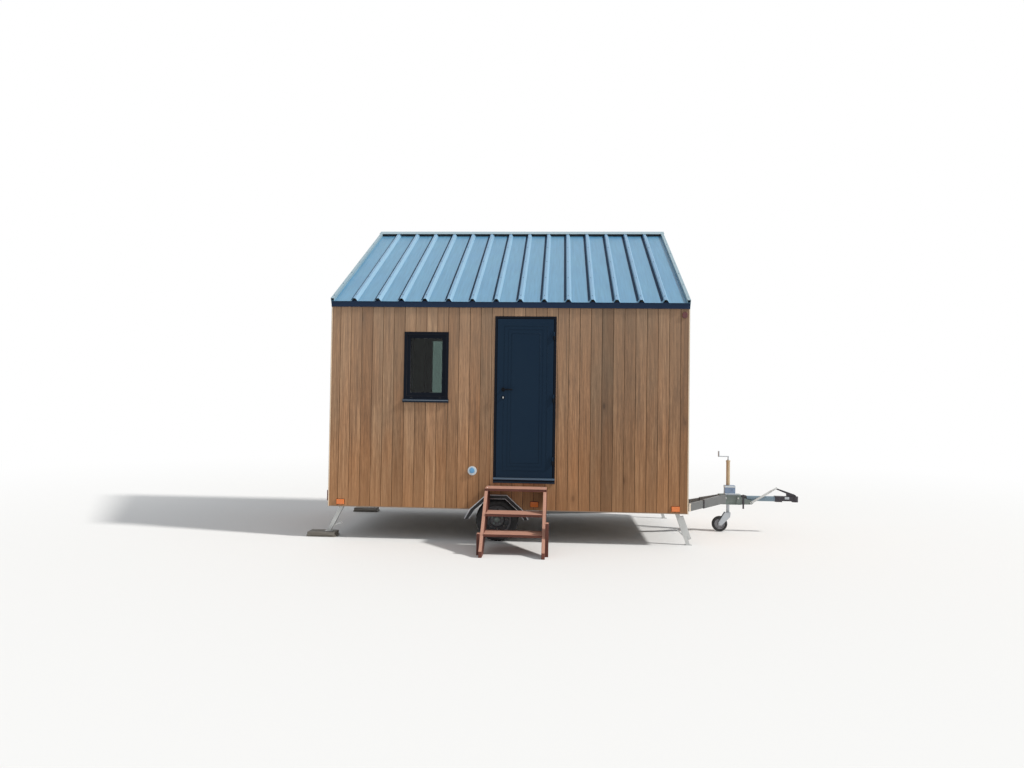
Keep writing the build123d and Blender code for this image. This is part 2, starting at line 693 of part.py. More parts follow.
def jockey_wheel():
    """The jockey wheel: a hub, a web and a rounded solid tyre."""
    half = JOCKEY_WHEEL_WIDTH / 2
    radius = JOCKEY_WHEEL_RADIUS
    points = [
        (JOCKEY_AXLE + FIT, -half - 4),
        (22, -half - 4),
        (26, -8),
        (radius - 38, -8),
        (radius - 34, -half + 2),
        (radius - 14, -half),
        (radius - 3, -half + 9),
        (radius, -half + 18),
        (radius, half - 18),
        (radius - 3, half - 9),
        (radius - 14, half),
        (radius - 34, half - 2),
        (radius - 38, 8),
        (26, 8),
        (22, half + 4),
        (JOCKEY_AXLE + FIT, half + 4),
    ]
    return turned_y(points, JOCKEY_AXLE_X, CENTRE_Y, radius)


def jockey_crank():
    """The cranked handle on top of the tube, with its arm towards the house."""
    shaft = rod_z(JOCKEY_X, CENTRE_Y, CRANK_SHAFT, (JOCKEY_TUBE_TOP_Z - 12, CRANK_Z + 6))
    collar = rod_z(JOCKEY_X, CENTRE_Y, CRANK_SHAFT + 5, (JOCKEY_TUBE_TOP_Z + SEAT, JOCKEY_TUBE_TOP_Z + 12))
    arm_z = (CRANK_Z - 6, CRANK_Z + 6)
    arm = block((JOCKEY_X - CRANK_ARM, JOCKEY_X + 8), (CENTRE_Y - 8, CENTRE_Y + 8), arm_z)
    grip_x = JOCKEY_X - CRANK_ARM
    grip = rod_z(grip_x, CENTRE_Y, CRANK_GRIP[0], (CRANK_Z - 6, CRANK_Z - 6 + CRANK_GRIP[1]))
    return shaft + collar + arm + grip


def drawbar():
    """The sliding drawbar tube between the housing and the coupling head."""
    return rod_x(CENTRE_Y, DRAWBAR_Z, DRAWBAR_RADIUS, (JOCKEY_X + 60, COUPLING_X))


def gaiter():
    """The rubber bellows where the drawbar leaves the housing."""
    start = HOUSING_X + HOUSING_LENGTH
    fold = GAITER_LENGTH / GAITER_FOLDS
    low = DRAWBAR_RADIUS + SEAT + 4
    points = [(0, DRAWBAR_RADIUS + SEAT), (0, GAITER_RADIUS)]
    for index in range(GAITER_FOLDS):
        taper = index * 1.2
        points.append(((index + 0.5) * fold, low))
        points.append(((index + 1) * fold, GAITER_RADIUS - taper))
    points.append((GAITER_LENGTH, DRAWBAR_RADIUS + SEAT))
    face = make_face(Polyline(*points, close=True))
    return Pos(start, CENTRE_Y, DRAWBAR_Z) * revolve(face, Axis.X)


def coupling_head():
    """The cast coupling head: a clamp round the drawbar, a neck and a socket over the tow ball."""
    ball_x = COUPLING_X + COUPLING_LENGTH - COUPLING_WIDTH / 2
    top = DRAWBAR_Z + COUPLING_HEIGHT / 2
    low = DRAWBAR_Z - COUPLING_HEIGHT / 2
    half = COUPLING_WIDTH / 2
    clamp = block((COUPLING_X, COUPLING_X + COUPLING_CLAMP), (CENTRE_Y - half, CENTRE_Y + half), (low, top))
    neck_y = (CENTRE_Y - half + 9, CENTRE_Y + half - 9)
    neck = block((COUPLING_X + COUPLING_CLAMP - 2, ball_x), neck_y, (low + 12, top))
    nose = rod_z(ball_x, CENTRE_Y, half, (low, top))
    socket = rod_z(ball_x, CENTRE_Y, BALL_RADIUS, (low - 1, low + SOCKET_DEPTH))
    dome = Pos(ball_x, CENTRE_Y, low + SOCKET_DEPTH) * Sphere(BALL_RADIUS)
    latch = along_y(
        [
            (ball_x - LATCH_FOOT, top),
            (ball_x + LATCH_BAR, top),
            (ball_x + LATCH_BAR / 2, top + 1.3 * LATCH_BAR),
            (ball_x - 1.6 * LATCH_BAR, top + 2.3 * LATCH_BAR),
            (COUPLING_X + 1.9 * LATCH_BAR, top + LATCH_RISE),
            (COUPLING_X + LATCH_BAR, top + LATCH_RISE - LATCH_BAR),
            (ball_x - LATCH_FOOT, top + 2.4 * LATCH_BAR),
        ],
        (CENTRE_Y - 16, CENTRE_Y + 16),
    )
    return clamp + neck + nose + latch - socket - dome


def handbrake():
    """The parking brake lever with a round grip, beside the housing's cheek plate."""
    height, thick = HANDBRAKE_BAR
    face_y = CENTRE_Y - HOUSING_WIDTH / 2 - HANDBRAKE_CHEEK - HANDBRAKE_GAP
    frame = Pos(HANDBRAKE_X, face_y - thick, HANDBRAKE_Z) * Rot(0, -HANDBRAKE_TILT, 0)
    bar = block((-18, HANDBRAKE_LENGTH - 90), (0, thick), (-height / 2, height / 2))
    bar -= rod_y(0, 0, HANDBRAKE_PIN + FIT, (-1, thick + 1))
    grip = rod_x(thick / 2, 0, 11, (HANDBRAKE_LENGTH - 110, HANDBRAKE_LENGTH))
    return frame * (bar + grip)


def floor_deck():
    """The floor cassette, as wide as the walls that stand on it."""
    return block(
        (CLADDING, BODY_LENGTH - CLADDING), (CLADDING, BODY_WIDTH - CLADDING), (DECK_UNDER_Z, FLOOR_TOP_Z)
    )


def wall_outline(y):
    """The (y, z) outline of a wall that stands on the floor and meets the sloping roof."""
    return [(y[0], FLOOR_TOP_Z), (y[1], FLOOR_TOP_Z), (y[1], under_roof(y[1])), (y[0], under_roof(y[0]))]


def window_place(back):
    """Low and high X and Z of the front or the back window."""
    x = BACK_WINDOW_X if back else WINDOW_X
    z = BACK_WINDOW_Z if back else WINDOW_Z
    height = BACK_WINDOW_HEIGHT if back else WINDOW_HEIGHT
    return (x, x + WINDOW_WIDTH), (z, z + height)


def window_hole(back, y):
    """The hole for one window through a wall between two Y values."""
    x, z = window_place(back)
    return block(x, y, z)


def front_wall_left():
    """The front wall from the rear corner to the door, with the window hole."""
    return along_x(wall_outline(FRONT_Y), (CLADDING, DOOR_X)) - window_hole(False, FRONT_Y)


def front_wall_right():
    """The front wall from the door to the hitch corner."""
    return along_x(wall_outline(FRONT_Y), (DOOR_RIGHT_X, BODY_LENGTH - CLADDING))


def front_wall_over_door():
    """The lintel part of the front wall."""
    outline = [
        (FRONT_Y[0], DOOR_TOP_Z),
        (FRONT_Y[1], DOOR_TOP_Z),
        (FRONT_Y[1], under_roof(FRONT_Y[1])),
        (FRONT_Y[0], under_roof(FRONT_Y[0])),
    ]
    return along_x(outline, (DOOR_X, DOOR_RIGHT_X))


def back_wall():
    """The tall back wall with its window hole."""
    return along_x(wall_outline(BACK_Y), (CLADDING, BODY_LENGTH - CLADDING)) - window_hole(True, BACK_Y)


def end_wall(x):
    """An end wall between the front and the back wall."""
    return along_x(wall_outline((INNER_FACE, BODY_WIDTH - INNER_FACE)), x)


def skin_outline(y):
    """The (y, z) outline of cladding from the skirt to the roof deck."""
    return [(y[0], SKIRT_Z), (y[1], SKIRT_Z), (y[1], under_roof(y[1])), (y[0], under_roof(y[0]))]


def arch_hole(y):
    """The wheel arch cut out of the cladding, a little larger than the mudguard."""
    return along_y(guard_outline(-SEAT), y)


def front_cladding_left():
    """Boards left of the door, with the window hole and most of the wheel arch."""
    skin_y = (0, CLADDING)
    panel = along_x(skin_outline(skin_y), (0, DOOR_X))
    return panel - window_hole(False, (-1, CLADDING + 1)) - arch_hole((-1, CLADDING + 1))


def front_cladding_right():
    """Boards right of the door."""
    return along_x(skin_outline((0, CLADDING)), (DOOR_RIGHT_X, BODY_LENGTH))


def front_cladding_over_door():
    """Boards over the door."""
    outline = [
        (0, DOOR_TOP_Z),
        (CLADDING, DOOR_TOP_Z),
        (CLADDING, under_roof(CLADDING)),
        (0, under_roof(0)),
    ]
    return along_x(outline, (DOOR_X, DOOR_RIGHT_X))


def front_cladding_below_door():
    """Boards under the door sill, with the rest of the wheel arch."""
    panel = block((DOOR_X, DOOR_RIGHT_X), (0, CLADDING), (SKIRT_Z, DOOR_SILL_Z))
    return panel - arch_hole((-1, CLADDING + 1))


def back_cladding():
    """Boards on the back, with the window hole and the wheel arch."""
    y = (BODY_WIDTH - CLADDING, BODY_WIDTH)
    cut_y = (y[0] - 1, y[1] + 1)
    return along_x(skin_outline(y), (0, BODY_LENGTH)) - window_hole(True, cut_y) - arch_hole(cut_y)


def end_cladding(x):
    """Boards on one end, between the front and back boards."""
    return along_x(skin_outline((CLADDING, BODY_WIDTH - CLADDING)), x)


def roof_deck():
    """The insulated roof slab on the walls."""
    outline = [
        (0, under_roof(0)),
        (BODY_WIDTH, under_roof(BODY_WIDTH)),
        (BODY_WIDTH, under_roof(BODY_WIDTH) + DECK_DEPTH),
        (0, under_roof(0) + DECK_DEPTH),
    ]
    return along_x(outline, (0, BODY_LENGTH))


def sheet_profile():
    """The (x, height) outline of the ribbed sheet: flat pans and hollow trapezoid ribs."""
    pitch = BODY_LENGTH / RIB_BAYS
    lean = (RIB_BASE - RIB_TOP) / 2
    flare = SHEET * (hypot(lean, RIB_HEIGHT) - lean) / RIB_HEIGHT
    under = [(0, 0)]
    over = [(0, SHEET)]
    for index in range(1, RIB_BAYS):
        x = index * pitch
        under += [
            (x - RIB_BASE / 2 + flare, 0),
            (x - RIB_TOP / 2 + flare, RIB_HEIGHT - SHEET),
            (x + RIB_TOP / 2 - flare, RIB_HEIGHT - SHEET),
            (x + RIB_BASE / 2 - flare, 0),
        ]
        over += [
            (x - RIB_BASE / 2, SHEET),
            (x - RIB_TOP / 2, RIB_HEIGHT),
            (x + RIB_TOP / 2, RIB_HEIGHT),
            (x + RIB_BASE / 2, SHEET),
        ]
    under.append((BODY_LENGTH, 0))
    over.append((BODY_LENGTH, SHEET))
    return under + over[::-1]


def roof_sheet():
    """The ribbed metal sheet, from the eave to the high edge."""
    start = -EAVE_REACH / PITCH_COS
    length = (BODY_WIDTH + EAVE_REACH + HIGH_REACH) / PITCH_COS
    return up_slope(sheet_profile(), start, length)


def rake_trims():
    """A folded trim along each sloping edge, as high as the ribs."""
    start = -EAVE_REACH / PITCH_COS
    length = (BODY_WIDTH + EAVE_REACH + HIGH_REACH) / PITCH_COS + RIB_HEIGHT
    height = RIB_HEIGHT
    outline = [
        (-TRIM, -RAKE_DROP),
        (0, -RAKE_DROP),
        (0, height - TRIM),
        (RAKE_TOP_FLANGE - TRIM, height - TRIM),
        (RAKE_TOP_FLANGE - TRIM, SHEET),
        (RAKE_TOP_FLANGE, SHEET),
        (RAKE_TOP_FLANGE, height),
        (-TRIM, height),
    ]
    keep = block((-TRIM, RAKE_TOP_FLANGE), (-BODY_WIDTH, BODY_WIDTH + HIGH_REACH), (0, 2 * WALL_TOP_Z))
    left = up_slope(outline, start, length) & keep
    right = mirror(left, Plane.YZ.offset(BODY_LENGTH / 2))
    return [left, right]


def rib_top(y):
    """Height of the rib tops at a Y."""
    return under_roof(y) + DECK_DEPTH + RIB_HEIGHT / PITCH_COS


def high_flashing():
    """The flashing on the rib tops along the high edge, turned down over the back."""
    edge = BODY_WIDTH + HIGH_REACH
    start = edge - FLASHING_FLANGE
    lift = TRIM / PITCH_COS
    outline = [
        (start, rib_top(start)),
        (edge, rib_top(edge)),
        (edge, rib_top(edge) - FLASHING_DROP),
        (edge + TRIM, rib_top(edge) - FLASHING_DROP),
        (edge + TRIM, rib_top(edge + TRIM) + lift),
        (start, rib_top(start) + lift),
    ]
    return along_x(outline, (-FLASHING_OVERSAIL, BODY_LENGTH + FLASHING_OVERSAIL))


def eave_fascia():
    """The dark board under the eave, over the top of the cladding."""
    y = (-FASCIA_DEPTH, 0)
    top = WALL_TOP_Z + DECK_DEPTH
    outline = [(y[0], WALL_TOP_Z), (y[1], WALL_TOP_Z), (y[1], top), (y[0], top - FASCIA_DEPTH * PITCH_TAN)]
    return along_x(outline, (0, BODY_LENGTH))


def door_frame():
    """The door frame: jambs, head and the low threshold member."""
    y = (-DOOR_FRAME_PROUD, DOOR_FRAME_DEPTH - DOOR_FRAME_PROUD)
    outer = block((DOOR_X, DOOR_RIGHT_X), y, (FLOOR_TOP_Z, DOOR_TOP_Z))
    inner_x = (DOOR_X + DOOR_FRAME_FACE, DOOR_RIGHT_X - DOOR_FRAME_FACE)
    inner_z = (FLOOR_TOP_Z + THRESHOLD_HEIGHT, DOOR_TOP_Z - DOOR_FRAME_FACE)
    return outer - block(inner_x, (y[0] - 1, y[1] + 1), inner_z)


def door_stop():
    """The inner stop lath round the opening, which the leaf closes against."""
    back = DOOR_FRAME_DEPTH - DOOR_FRAME_PROUD
    y = (LEAF_THICKNESS - DOOR_FRAME_PROUD + LEAF_GAP, back)
    inner_x = (DOOR_X + DOOR_FRAME_FACE, DOOR_RIGHT_X - DOOR_FRAME_FACE)
    z = (FLOOR_TOP_Z + THRESHOLD_HEIGHT, DOOR_TOP_Z - DOOR_FRAME_FACE)
    ring = block(inner_x, y, z)
    hole = block((inner_x[0] + 14, inner_x[1] - 14), (y[0] - 1, y[1] + 1), (z[0] - 1, z[1] - 14))
    return ring - hole


def door_sill():
    """The projecting sill under the door frame, in front of the floor."""
    outline = [
        (-DOOR_SILL_REACH, DOOR_SILL_Z),
        (CLADDING, DOOR_SILL_Z),
        (CLADDING, FLOOR_TOP_Z),
        (-DOOR_FRAME_PROUD, FLOOR_TOP_Z),
        (-DOOR_SILL_REACH, FLOOR_TOP_Z - 12),
    ]
    return along_x(outline, (DOOR_X, DOOR_RIGHT_X))


def leaf_box():
    """Low and high values of the door leaf on each axis."""
    x = (DOOR_X + DOOR_FRAME_FACE + LEAF_GAP, DOOR_RIGHT_X - DOOR_FRAME_FACE - LEAF_GAP)
    y = (-DOOR_FRAME_PROUD, -DOOR_FRAME_PROUD + LEAF_THICKNESS)
    return x, y, (LEAF_Z, DOOR_TOP_Z - DOOR_FRAME_FACE - LEAF_GAP)


def door_leaf():
    """The flush leaf with a shallow pressed panel, its hinge knuckles and their plates."""
    x, y, z = leaf_box()
    leaf = block(x, y, z)
    groove_y = (y[0] - 1, y[0] + 2)
    border = PANEL_BORDER
    outer = block((x[0] + border, x[1] - border), groove_y, (z[0] + border, z[1] - border))
    border += PANEL_GROOVE
    inner = block((x[0] + border, x[1] - border), groove_y, (z[0] + border, z[1] - border))
    leaf -= outer - inner
    leaf -= rod_y(LEVER_X, LEVER_Z, 9 + FIT, (y[0] - 1, y[0] + 30))
    for place in hinge_heights():
        knuckle = rod_z(HINGE_X, HINGE_Y, HINGE_RADIUS, (place + SEAT, place + HINGE_HEIGHT / 2))
        plate = block((x[1] - 34, HINGE_X), (y[0] - 4, y[0]), (place + SEAT, place + HINGE_HEIGHT / 2))
        bore = rod_z(HINGE_X, HINGE_Y, HINGE_PIN + FIT, (place - HINGE_HEIGHT, place + HINGE_HEIGHT))
        leaf = leaf + (knuckle + plate) - bore
    return leaf


def hinge_heights():
    """The middle height of each of the three door hinges."""
    _, _, z = leaf_box()
    low = z[0] + HINGE_FROM_EDGE
    high = z[1] - HINGE_FROM_EDGE
    return low, (low + high) / 2, high


def door_hinges():
    """The frame halves of the hinges, each with its plate and the pin."""
    made = []
    for place in hinge_heights():
        z = (place - HINGE_HEIGHT / 2, place)
        knuckle = rod_z(HINGE_X, HINGE_Y, HINGE_RADIUS, z)
        jamb = DOOR_RIGHT_X - DOOR_FRAME_FACE
        plate = block((HINGE_X, jamb + HINGE_PLATE), (-DOOR_FRAME_PROUD - 4, -DOOR_FRAME_PROUD), z)
        clear = block((jamb - LEAF_GAP, jamb), (-DOOR_FRAME_PROUD - 1, 20), z)
        pin = rod_z(HINGE_X, HINGE_Y, HINGE_PIN, (z[0], place + HINGE_HEIGHT / 2))
        made.append(knuckle + (plate - clear) + pin)
    return made


def door_lever():
    """The lever handle: spindle, rose neck and a bent arm towards the hinge side."""
    face = -DOOR_FRAME_PROUD
    spindle = rod_y(LEVER_X, LEVER_Z, 9, (face - 52, face + 26))
    arm = rod_x(face - 46, LEVER_Z, 9, (LEVER_X, LEVER_X + LEVER_ARM))
    return spindle + arm


def window_frame(back):
    """A fixed window frame with its sash, for the front wall or mirrored for the back."""
    x, z = window_place(back)
    face = WINDOW_FRAME_FACE
    frame = block(x, (-DOOR_FRAME_PROUD, WINDOW_FRAME_DEPTH), z)
    inner = ((x[0] + face, x[1] - face), (z[0] + face, z[1] - face))
    frame -= block(inner[0], (-20, WINDOW_FRAME_DEPTH + 1), inner[1])
    sash_y = (SASH_INSET, SASH_INSET + SASH_DEPTH)
    sash = block(inner[0], sash_y, inner[1])
    light_x = (inner[0][0] + SASH_FACE, inner[0][1] - SASH_FACE)
    light_z = (inner[1][0] + SASH_FACE, inner[1][1] - SASH_FACE)
    sash -= block(light_x, (-20, WINDOW_FRAME_DEPTH + 1), light_z)
    whole = frame + sash
    return mirror_y(whole) if back else whole


def window_glass(back):
    """The sealed pane in the sash."""
    x, z = window_place(back)
    edge = WINDOW_FRAME_FACE + SASH_FACE
    middle = SASH_INSET + SASH_DEPTH / 2
    pane = block(
        (x[0] + edge, x[1] - edge), (middle - GLASS / 2, middle + GLASS / 2), (z[0] + edge, z[1] - edge)
    )
    return mirror_y(pane) if back else pane


def window_sill(back):
    """The pressed sill under a window, wider than its frame."""
    x, z = window_place(back)
    top = z[0]
    outline = [
        (-WINDOW_SILL_REACH, top - WINDOW_SILL_HEIGHT),
        (0, top - WINDOW_SILL_HEIGHT),
        (0, top),
        (-DOOR_FRAME_PROUD, top),
        (-WINDOW_SILL_REACH, top - 8),
    ]
    sill = along_x(outline, (x[0] - WINDOW_SILL_OVERHANG, x[1] + WINDOW_SILL_OVERHANG))
    return mirror_y(sill) if back else sill


def side_markers():
    """The amber markers along both sides."""
    made = []
    length, depth, height = MARKER_SIZE
    for x, z in MARKER_PLACES:
        lamp = block((x - length / 2, x + length / 2), (-depth, 0), (z - height / 2, z + height / 2))
        made += both_sides(fillet(lamp.faces().sort_by(Axis.Y)[0].edges(), 4))
    return made


def red_lamp():
    """The small red lamp near the top of the hitch corner."""
    length, depth, height = RED_LAMP_SIZE
    x, z = BODY_LENGTH - RED_LAMP_INSET, RED_LAMP_Z
    lamp = block((x - length / 2, x + length / 2), (-depth, 0), (z - height / 2, z + height / 2))
    lamp = fillet(lamp.edges().filter_by(Axis.Y), RED_LAMP_ROUNDING)
    return fillet(lamp.faces().sort_by(Axis.Y)[0].edges(), 5)


def water_inlet():
    """The round inlet with its hinged flap, left of the door."""
    x, z = INLET_PLACE
    ring = rod_y(x, z, INLET_RADIUS, (-INLET_DEPTH / 2, 0))
    flap = rod_y(x, z + 4, INLET_RADIUS * 0.68, (-INLET_DEPTH, 0))
    return ring + flap


def rear_lamps():
    """The two lamp clusters on the rear end."""
    reach, width, height = REAR_LAMP_SIZE
    lamp = block(
        (-reach, 0), (REAR_LAMP_INSET, REAR_LAMP_INSET + width), (REAR_LAMP_Z, REAR_LAMP_Z + height)
    )
    return both_sides(fillet(lamp.faces().sort_by(Axis.X)[0].edges(), 8))


def stringer_outline():
    """The (y, z) outline of an inclined stringer, cut level at the ground and upright at the wall."""
    drop = STEP_TOPS[0]
    foot = -STRINGER_FOOT_REACH
    head = -STEP_WALL_GAP
    return [
        (foot, 0),
        (foot + STRINGER_WIDTH * 1.25, 0),
        (head, drop - STRINGER_WIDTH * 1.45),
        (head, drop - STEP_TREAD),
        (-STEP_FRONTS[0], drop - STEP_TREAD),
        (foot, STRINGER_WIDTH * 0.45),
    ]


def step_stringers():
    """The two inclined stringers."""
    starts = (STEPS_X, STEPS_X + STEPS_WIDTH - STRINGER_THICKNESS)
    return [along_x(stringer_outline(), (x, x + STRINGER_THICKNESS)) for x in starts]


def step_treads():
    """The top platform over the stringers and two lower treads between them."""
    made = []
    for index, (top, front) in enumerate(zip(STEP_TOPS, STEP_FRONTS)):
        inset = 0 if index == 0 else STRINGER_THICKNESS
        x = (STEPS_X + inset, STEPS_X + STEPS_WIDTH - inset)
        back = STEP_WALL_GAP if index == 0 else front - STEP_DEPTH
        made.append(block(x, (-front, -back), (top - STEP_TREAD, top)))
    return made


def step_sides():
    """Each stringer with the short upright board outside its foot."""
    outer = (
        (STEPS_X - STEP_LEG_THICKNESS, STEPS_X),
        (STEPS_X + STEPS_WIDTH, STEPS_X + STEPS_WIDTH + STEP_LEG_THICKNESS),
    )
    made = []
    y = (-STEP_LEG_REACH, -STEP_LEG_REACH + STEP_LEG_WIDTH)
    for stringer, x, height in zip(step_stringers(), outer, STEP_LEG_HEIGHTS):
        made.append(stringer + block(x, y, (0, height)))
    return made


def build():
    """Every node of the house, in the working frame whose origin is the rear corner on the ground."""
    nodes = {
        "chassis_rails": rails(),
        "crossmembers": crossmembers() + outriggers(),
        "axle": axle(),
        "mudguards": both_sides(mudguard()),
        "front_tyre": [tyre()],
        "front_rim": [rim()],
        "back_tyre": [mirror_y(tyre())],
        "back_rim": [mirror_y(rim())],
        "a_frame": a_frame(),
        "overrun_housing": [overrun_housing()],
        "drawbar_gaiter": [gaiter()],
        "coupling_head": [drawbar() + coupling_head()],
        "handbrake_lever": [handbrake()],
        "jockey_clamp": [jockey_clamp()],
        "jockey_tube": [jockey_tube()],
        "jockey_stem": [jockey_stem()],
        "jockey_fork": [jockey_fork()],
        "jockey_wheel": [jockey_wheel()],
        "jockey_crank": [jockey_crank()],
        "support_pads": pads(),
        "floor_deck": [floor_deck()],
        "front_wall_left": [front_wall_left()],
        "front_wall_right": [front_wall_right()],
        "front_wall_over_door": [front_wall_over_door()],
        "back_wall": [back_wall()],
        "rear_end_wall": [end_wall((CLADDING, INNER_FACE))],
        "hitch_end_wall": [end_wall((BODY_LENGTH - INNER_FACE, BODY_LENGTH - CLADDING))],
        "front_cladding_left": [front_cladding_left()],
        "front_cladding_right": [front_cladding_right()],
        "front_cladding_over_door": [front_cladding_over_door()],
        "front_cladding_below_door": [front_cladding_below_door()],
        "back_cladding": [back_cladding()],
        "rear_end_cladding": [end_cladding((0, CLADDING))],
        "hitch_end_cladding": [end_cladding((BODY_LENGTH - CLADDING, BODY_LENGTH))],
        "roof_deck": [roof_deck()],
        "roof_sheet": [roof_sheet()],
        "rake_trims": rake_trims(),
        "high_flashing": [high_flashing()],
        "eave_fascia": [eave_fascia()],
        "door_frame": [door_frame() + door_stop()],
        "door_hinges": door_hinges(),
        "door_leaf": [door_leaf()],
        "door_lever": [door_lever()],
        "window_frames": [window_frame(False), window_frame(True)],
        "window_glass": [window_glass(False), window_glass(True)],
        "sills": [door_sill(), window_sill(False), window_sill(True)],
        "side_markers": side_markers(),
        "water_inlet": [water_inlet()],
        "red_lamps": rear_lamps() + [red_lamp()],
        "step_sides": step_sides(),
        "step_treads": step_treads(),
    }
    nodes["steady_brackets"] = []
    nodes["steady_legs"] = []
    for name, x, splay, side in STEADIES:
        nodes["steady_brackets"] += both_sides(steady_bracket(x))
        nodes["steady_legs"] += both_sides(steady_leg(x, splay, side))
        front, back = both_sides(steady_inner(x, splay, side))
        nodes[f"steady_foot_{name}_front"] = [front]
        nodes[f"steady_foot_{name}_back"] = [back]
    return nodes


NODES = build()
BOUNDS = Compound(children=[Compound(children=solids) for solids in NODES.values()]).bounding_box()
ORIGIN = Vector((BOUNDS.min.X + BOUNDS.max.X) / 2, (BOUNDS.min.Y + BOUNDS.max.Y) / 2, BOUNDS.min.Z)

for node, solids in NODES.items():
    export_step(Pos(-ORIGIN) * Compound(children=solids), f"parts/{node}.step")
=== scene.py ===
from math import cos, pi, radians, sin, tan

import bmesh
import bpy
from mathutils import Matrix, Vector

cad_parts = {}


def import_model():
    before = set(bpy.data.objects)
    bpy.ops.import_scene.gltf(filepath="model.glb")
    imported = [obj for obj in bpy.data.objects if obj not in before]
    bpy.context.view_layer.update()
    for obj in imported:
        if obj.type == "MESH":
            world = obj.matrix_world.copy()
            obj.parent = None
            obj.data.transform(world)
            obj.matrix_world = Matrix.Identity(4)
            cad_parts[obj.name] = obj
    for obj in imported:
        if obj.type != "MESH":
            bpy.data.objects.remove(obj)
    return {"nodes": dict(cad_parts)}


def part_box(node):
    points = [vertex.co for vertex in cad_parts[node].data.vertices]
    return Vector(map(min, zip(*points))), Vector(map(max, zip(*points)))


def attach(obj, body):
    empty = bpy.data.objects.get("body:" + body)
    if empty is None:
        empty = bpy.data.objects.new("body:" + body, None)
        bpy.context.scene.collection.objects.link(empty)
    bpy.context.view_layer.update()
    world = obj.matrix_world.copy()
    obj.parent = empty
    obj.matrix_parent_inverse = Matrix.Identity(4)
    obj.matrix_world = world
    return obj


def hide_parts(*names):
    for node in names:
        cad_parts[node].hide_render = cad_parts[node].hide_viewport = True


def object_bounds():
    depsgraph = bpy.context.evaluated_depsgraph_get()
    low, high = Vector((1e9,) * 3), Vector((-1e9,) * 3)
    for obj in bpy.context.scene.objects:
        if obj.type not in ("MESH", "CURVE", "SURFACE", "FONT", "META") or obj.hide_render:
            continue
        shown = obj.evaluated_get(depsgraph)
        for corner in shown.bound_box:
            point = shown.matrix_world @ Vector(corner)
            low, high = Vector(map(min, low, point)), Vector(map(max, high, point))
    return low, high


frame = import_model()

# The tiny house: boards, materials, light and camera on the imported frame. Lengths in metres.
# House coordinates: X from the rear end, Y from the door side's boards, Z from the ground.

CAD_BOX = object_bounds()
NODES = frame["nodes"]
SKIRT_Z = 0.407
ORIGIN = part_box("front_cladding_left")[0] - Vector((0, 0, SKIRT_Z))


def at(x, y, z):
    """A place in house coordinates, in the shared frame."""
    return ORIGIN + Vector((x, y, z))


def house_box(node):
    """Low and high corner of a node in house coordinates."""
    low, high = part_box(node)
    return low - ORIGIN, high - ORIGIN


def middle_of(node):
    """The middle of a node in house coordinates."""
    low, high = house_box(node)
    return (low + high) / 2


LENGTH = house_box("hitch_end_cladding")[1].x
WIDTH = house_box("back_cladding")[1].y
CLADDING = house_box("rear_end_cladding")[1].x
WALL_TOP_Z = house_box("eave_fascia")[0].z
DOOR_LOW, DOOR_HIGH = house_box("door_frame")
AXLE_X = middle_of("front_rim").x
ROOF_ANGLE = radians(28.6)
ROOF_NORMAL = Vector((0, -sin(ROOF_ANGLE), cos(ROOF_ANGLE)))
ROOF_RUN = WIDTH / cos(ROOF_ANGLE)
DECK_RISE = 0.085
RIBS = 14
RIB_PITCH = LENGTH / (RIBS + 1)
RIB_HEIGHT = 0.04
# The Y of each long side's boards, and which way along Y is inwards.
LONG_SIDES = ((0.0, 1), (WIDTH, -1))


def roof_line(y):
    """Height of the roof deck's underside."""
    return WALL_TOP_Z + y * tan(ROOF_ANGLE)


def on_roof(x, along, lift):
    """A place over the deck: X, distance up the slope from the eave, height off the deck."""
    y = along * cos(ROOF_ANGLE) - lift * sin(ROOF_ANGLE)
    return at(x, y, WALL_TOP_Z + DECK_RISE + along * sin(ROOF_ANGLE) + lift * cos(ROOF_ANGLE))


# Node helpers

def shader_tree(name):
    """A material with its node tree, shader and object coordinates."""
    material = bpy.data.materials.new(name)
    material.use_nodes = True
    tree = material.node_tree
    place = put(tree, "TexCoord").outputs["Object"]
    return material, tree, tree.nodes["Principled BSDF"], place


def reopened(material):
    """A finished material's tree, shader, object coordinates and the colour that it has so far."""
    tree = material.node_tree
    shader = tree.nodes["Principled BSDF"]
    place = put(tree, "TexCoord").outputs["Object"]
    return tree, shader, place, shader.inputs["Base Color"].links[0].from_socket


def fill(tree, node, **values):
    """Sets or links inputs; underscores in a name stand for spaces, and _0 is the first input."""
    for key, value in values.items():
        socket = node.inputs[int(key[1:])] if key[1:].isdigit() else node.inputs[key.replace("_", " ")]
        if isinstance(value, bpy.types.NodeSocket):
            tree.links.new(value, socket)
        else:
            socket.default_value = value
    return node


def put(tree, kind, **values):
    """A new shader node of a kind, with its inputs set or linked."""
    return fill(tree, tree.nodes.new("ShaderNode" + kind), **values)


def operate(tree, kind, operation, *inputs):
    """The outputs of a maths node for numbers or vectors."""
    node = put(tree, kind, **{f"_{number}": value for number, value in enumerate(inputs)})
    node.operation = operation
    return node.outputs


def maths(tree, operation, *inputs):
    """The result of arithmetic on numbers."""
    return operate(tree, "Math", operation, *inputs)[0]


def split(tree, vector):
    """The X, Y and Z of a vector."""
    return put(tree, "SeparateXYZ", Vector=vector).outputs


def facing(tree, axis):
    """How far the surface faces along an axis."""
    return split(tree, put(tree, "NewGeometry").outputs["Normal"])[axis]


def grey(value):
    """A neutral colour."""
    return (value,) * 3


def ramp(tree, factor, stops):
    """A colour ramp through (position, colour) stops."""
    node = put(tree, "ValToRGB", Fac=factor)
    for element, (position, colour) in zip(node.color_ramp.elements[:], stops):
        element.position = position
        element.color = (*colour, 1)
    for position, colour in stops[2:]:
        node.color_ramp.elements.new(position).color = (*colour, 1)
    return node.outputs["Color"]


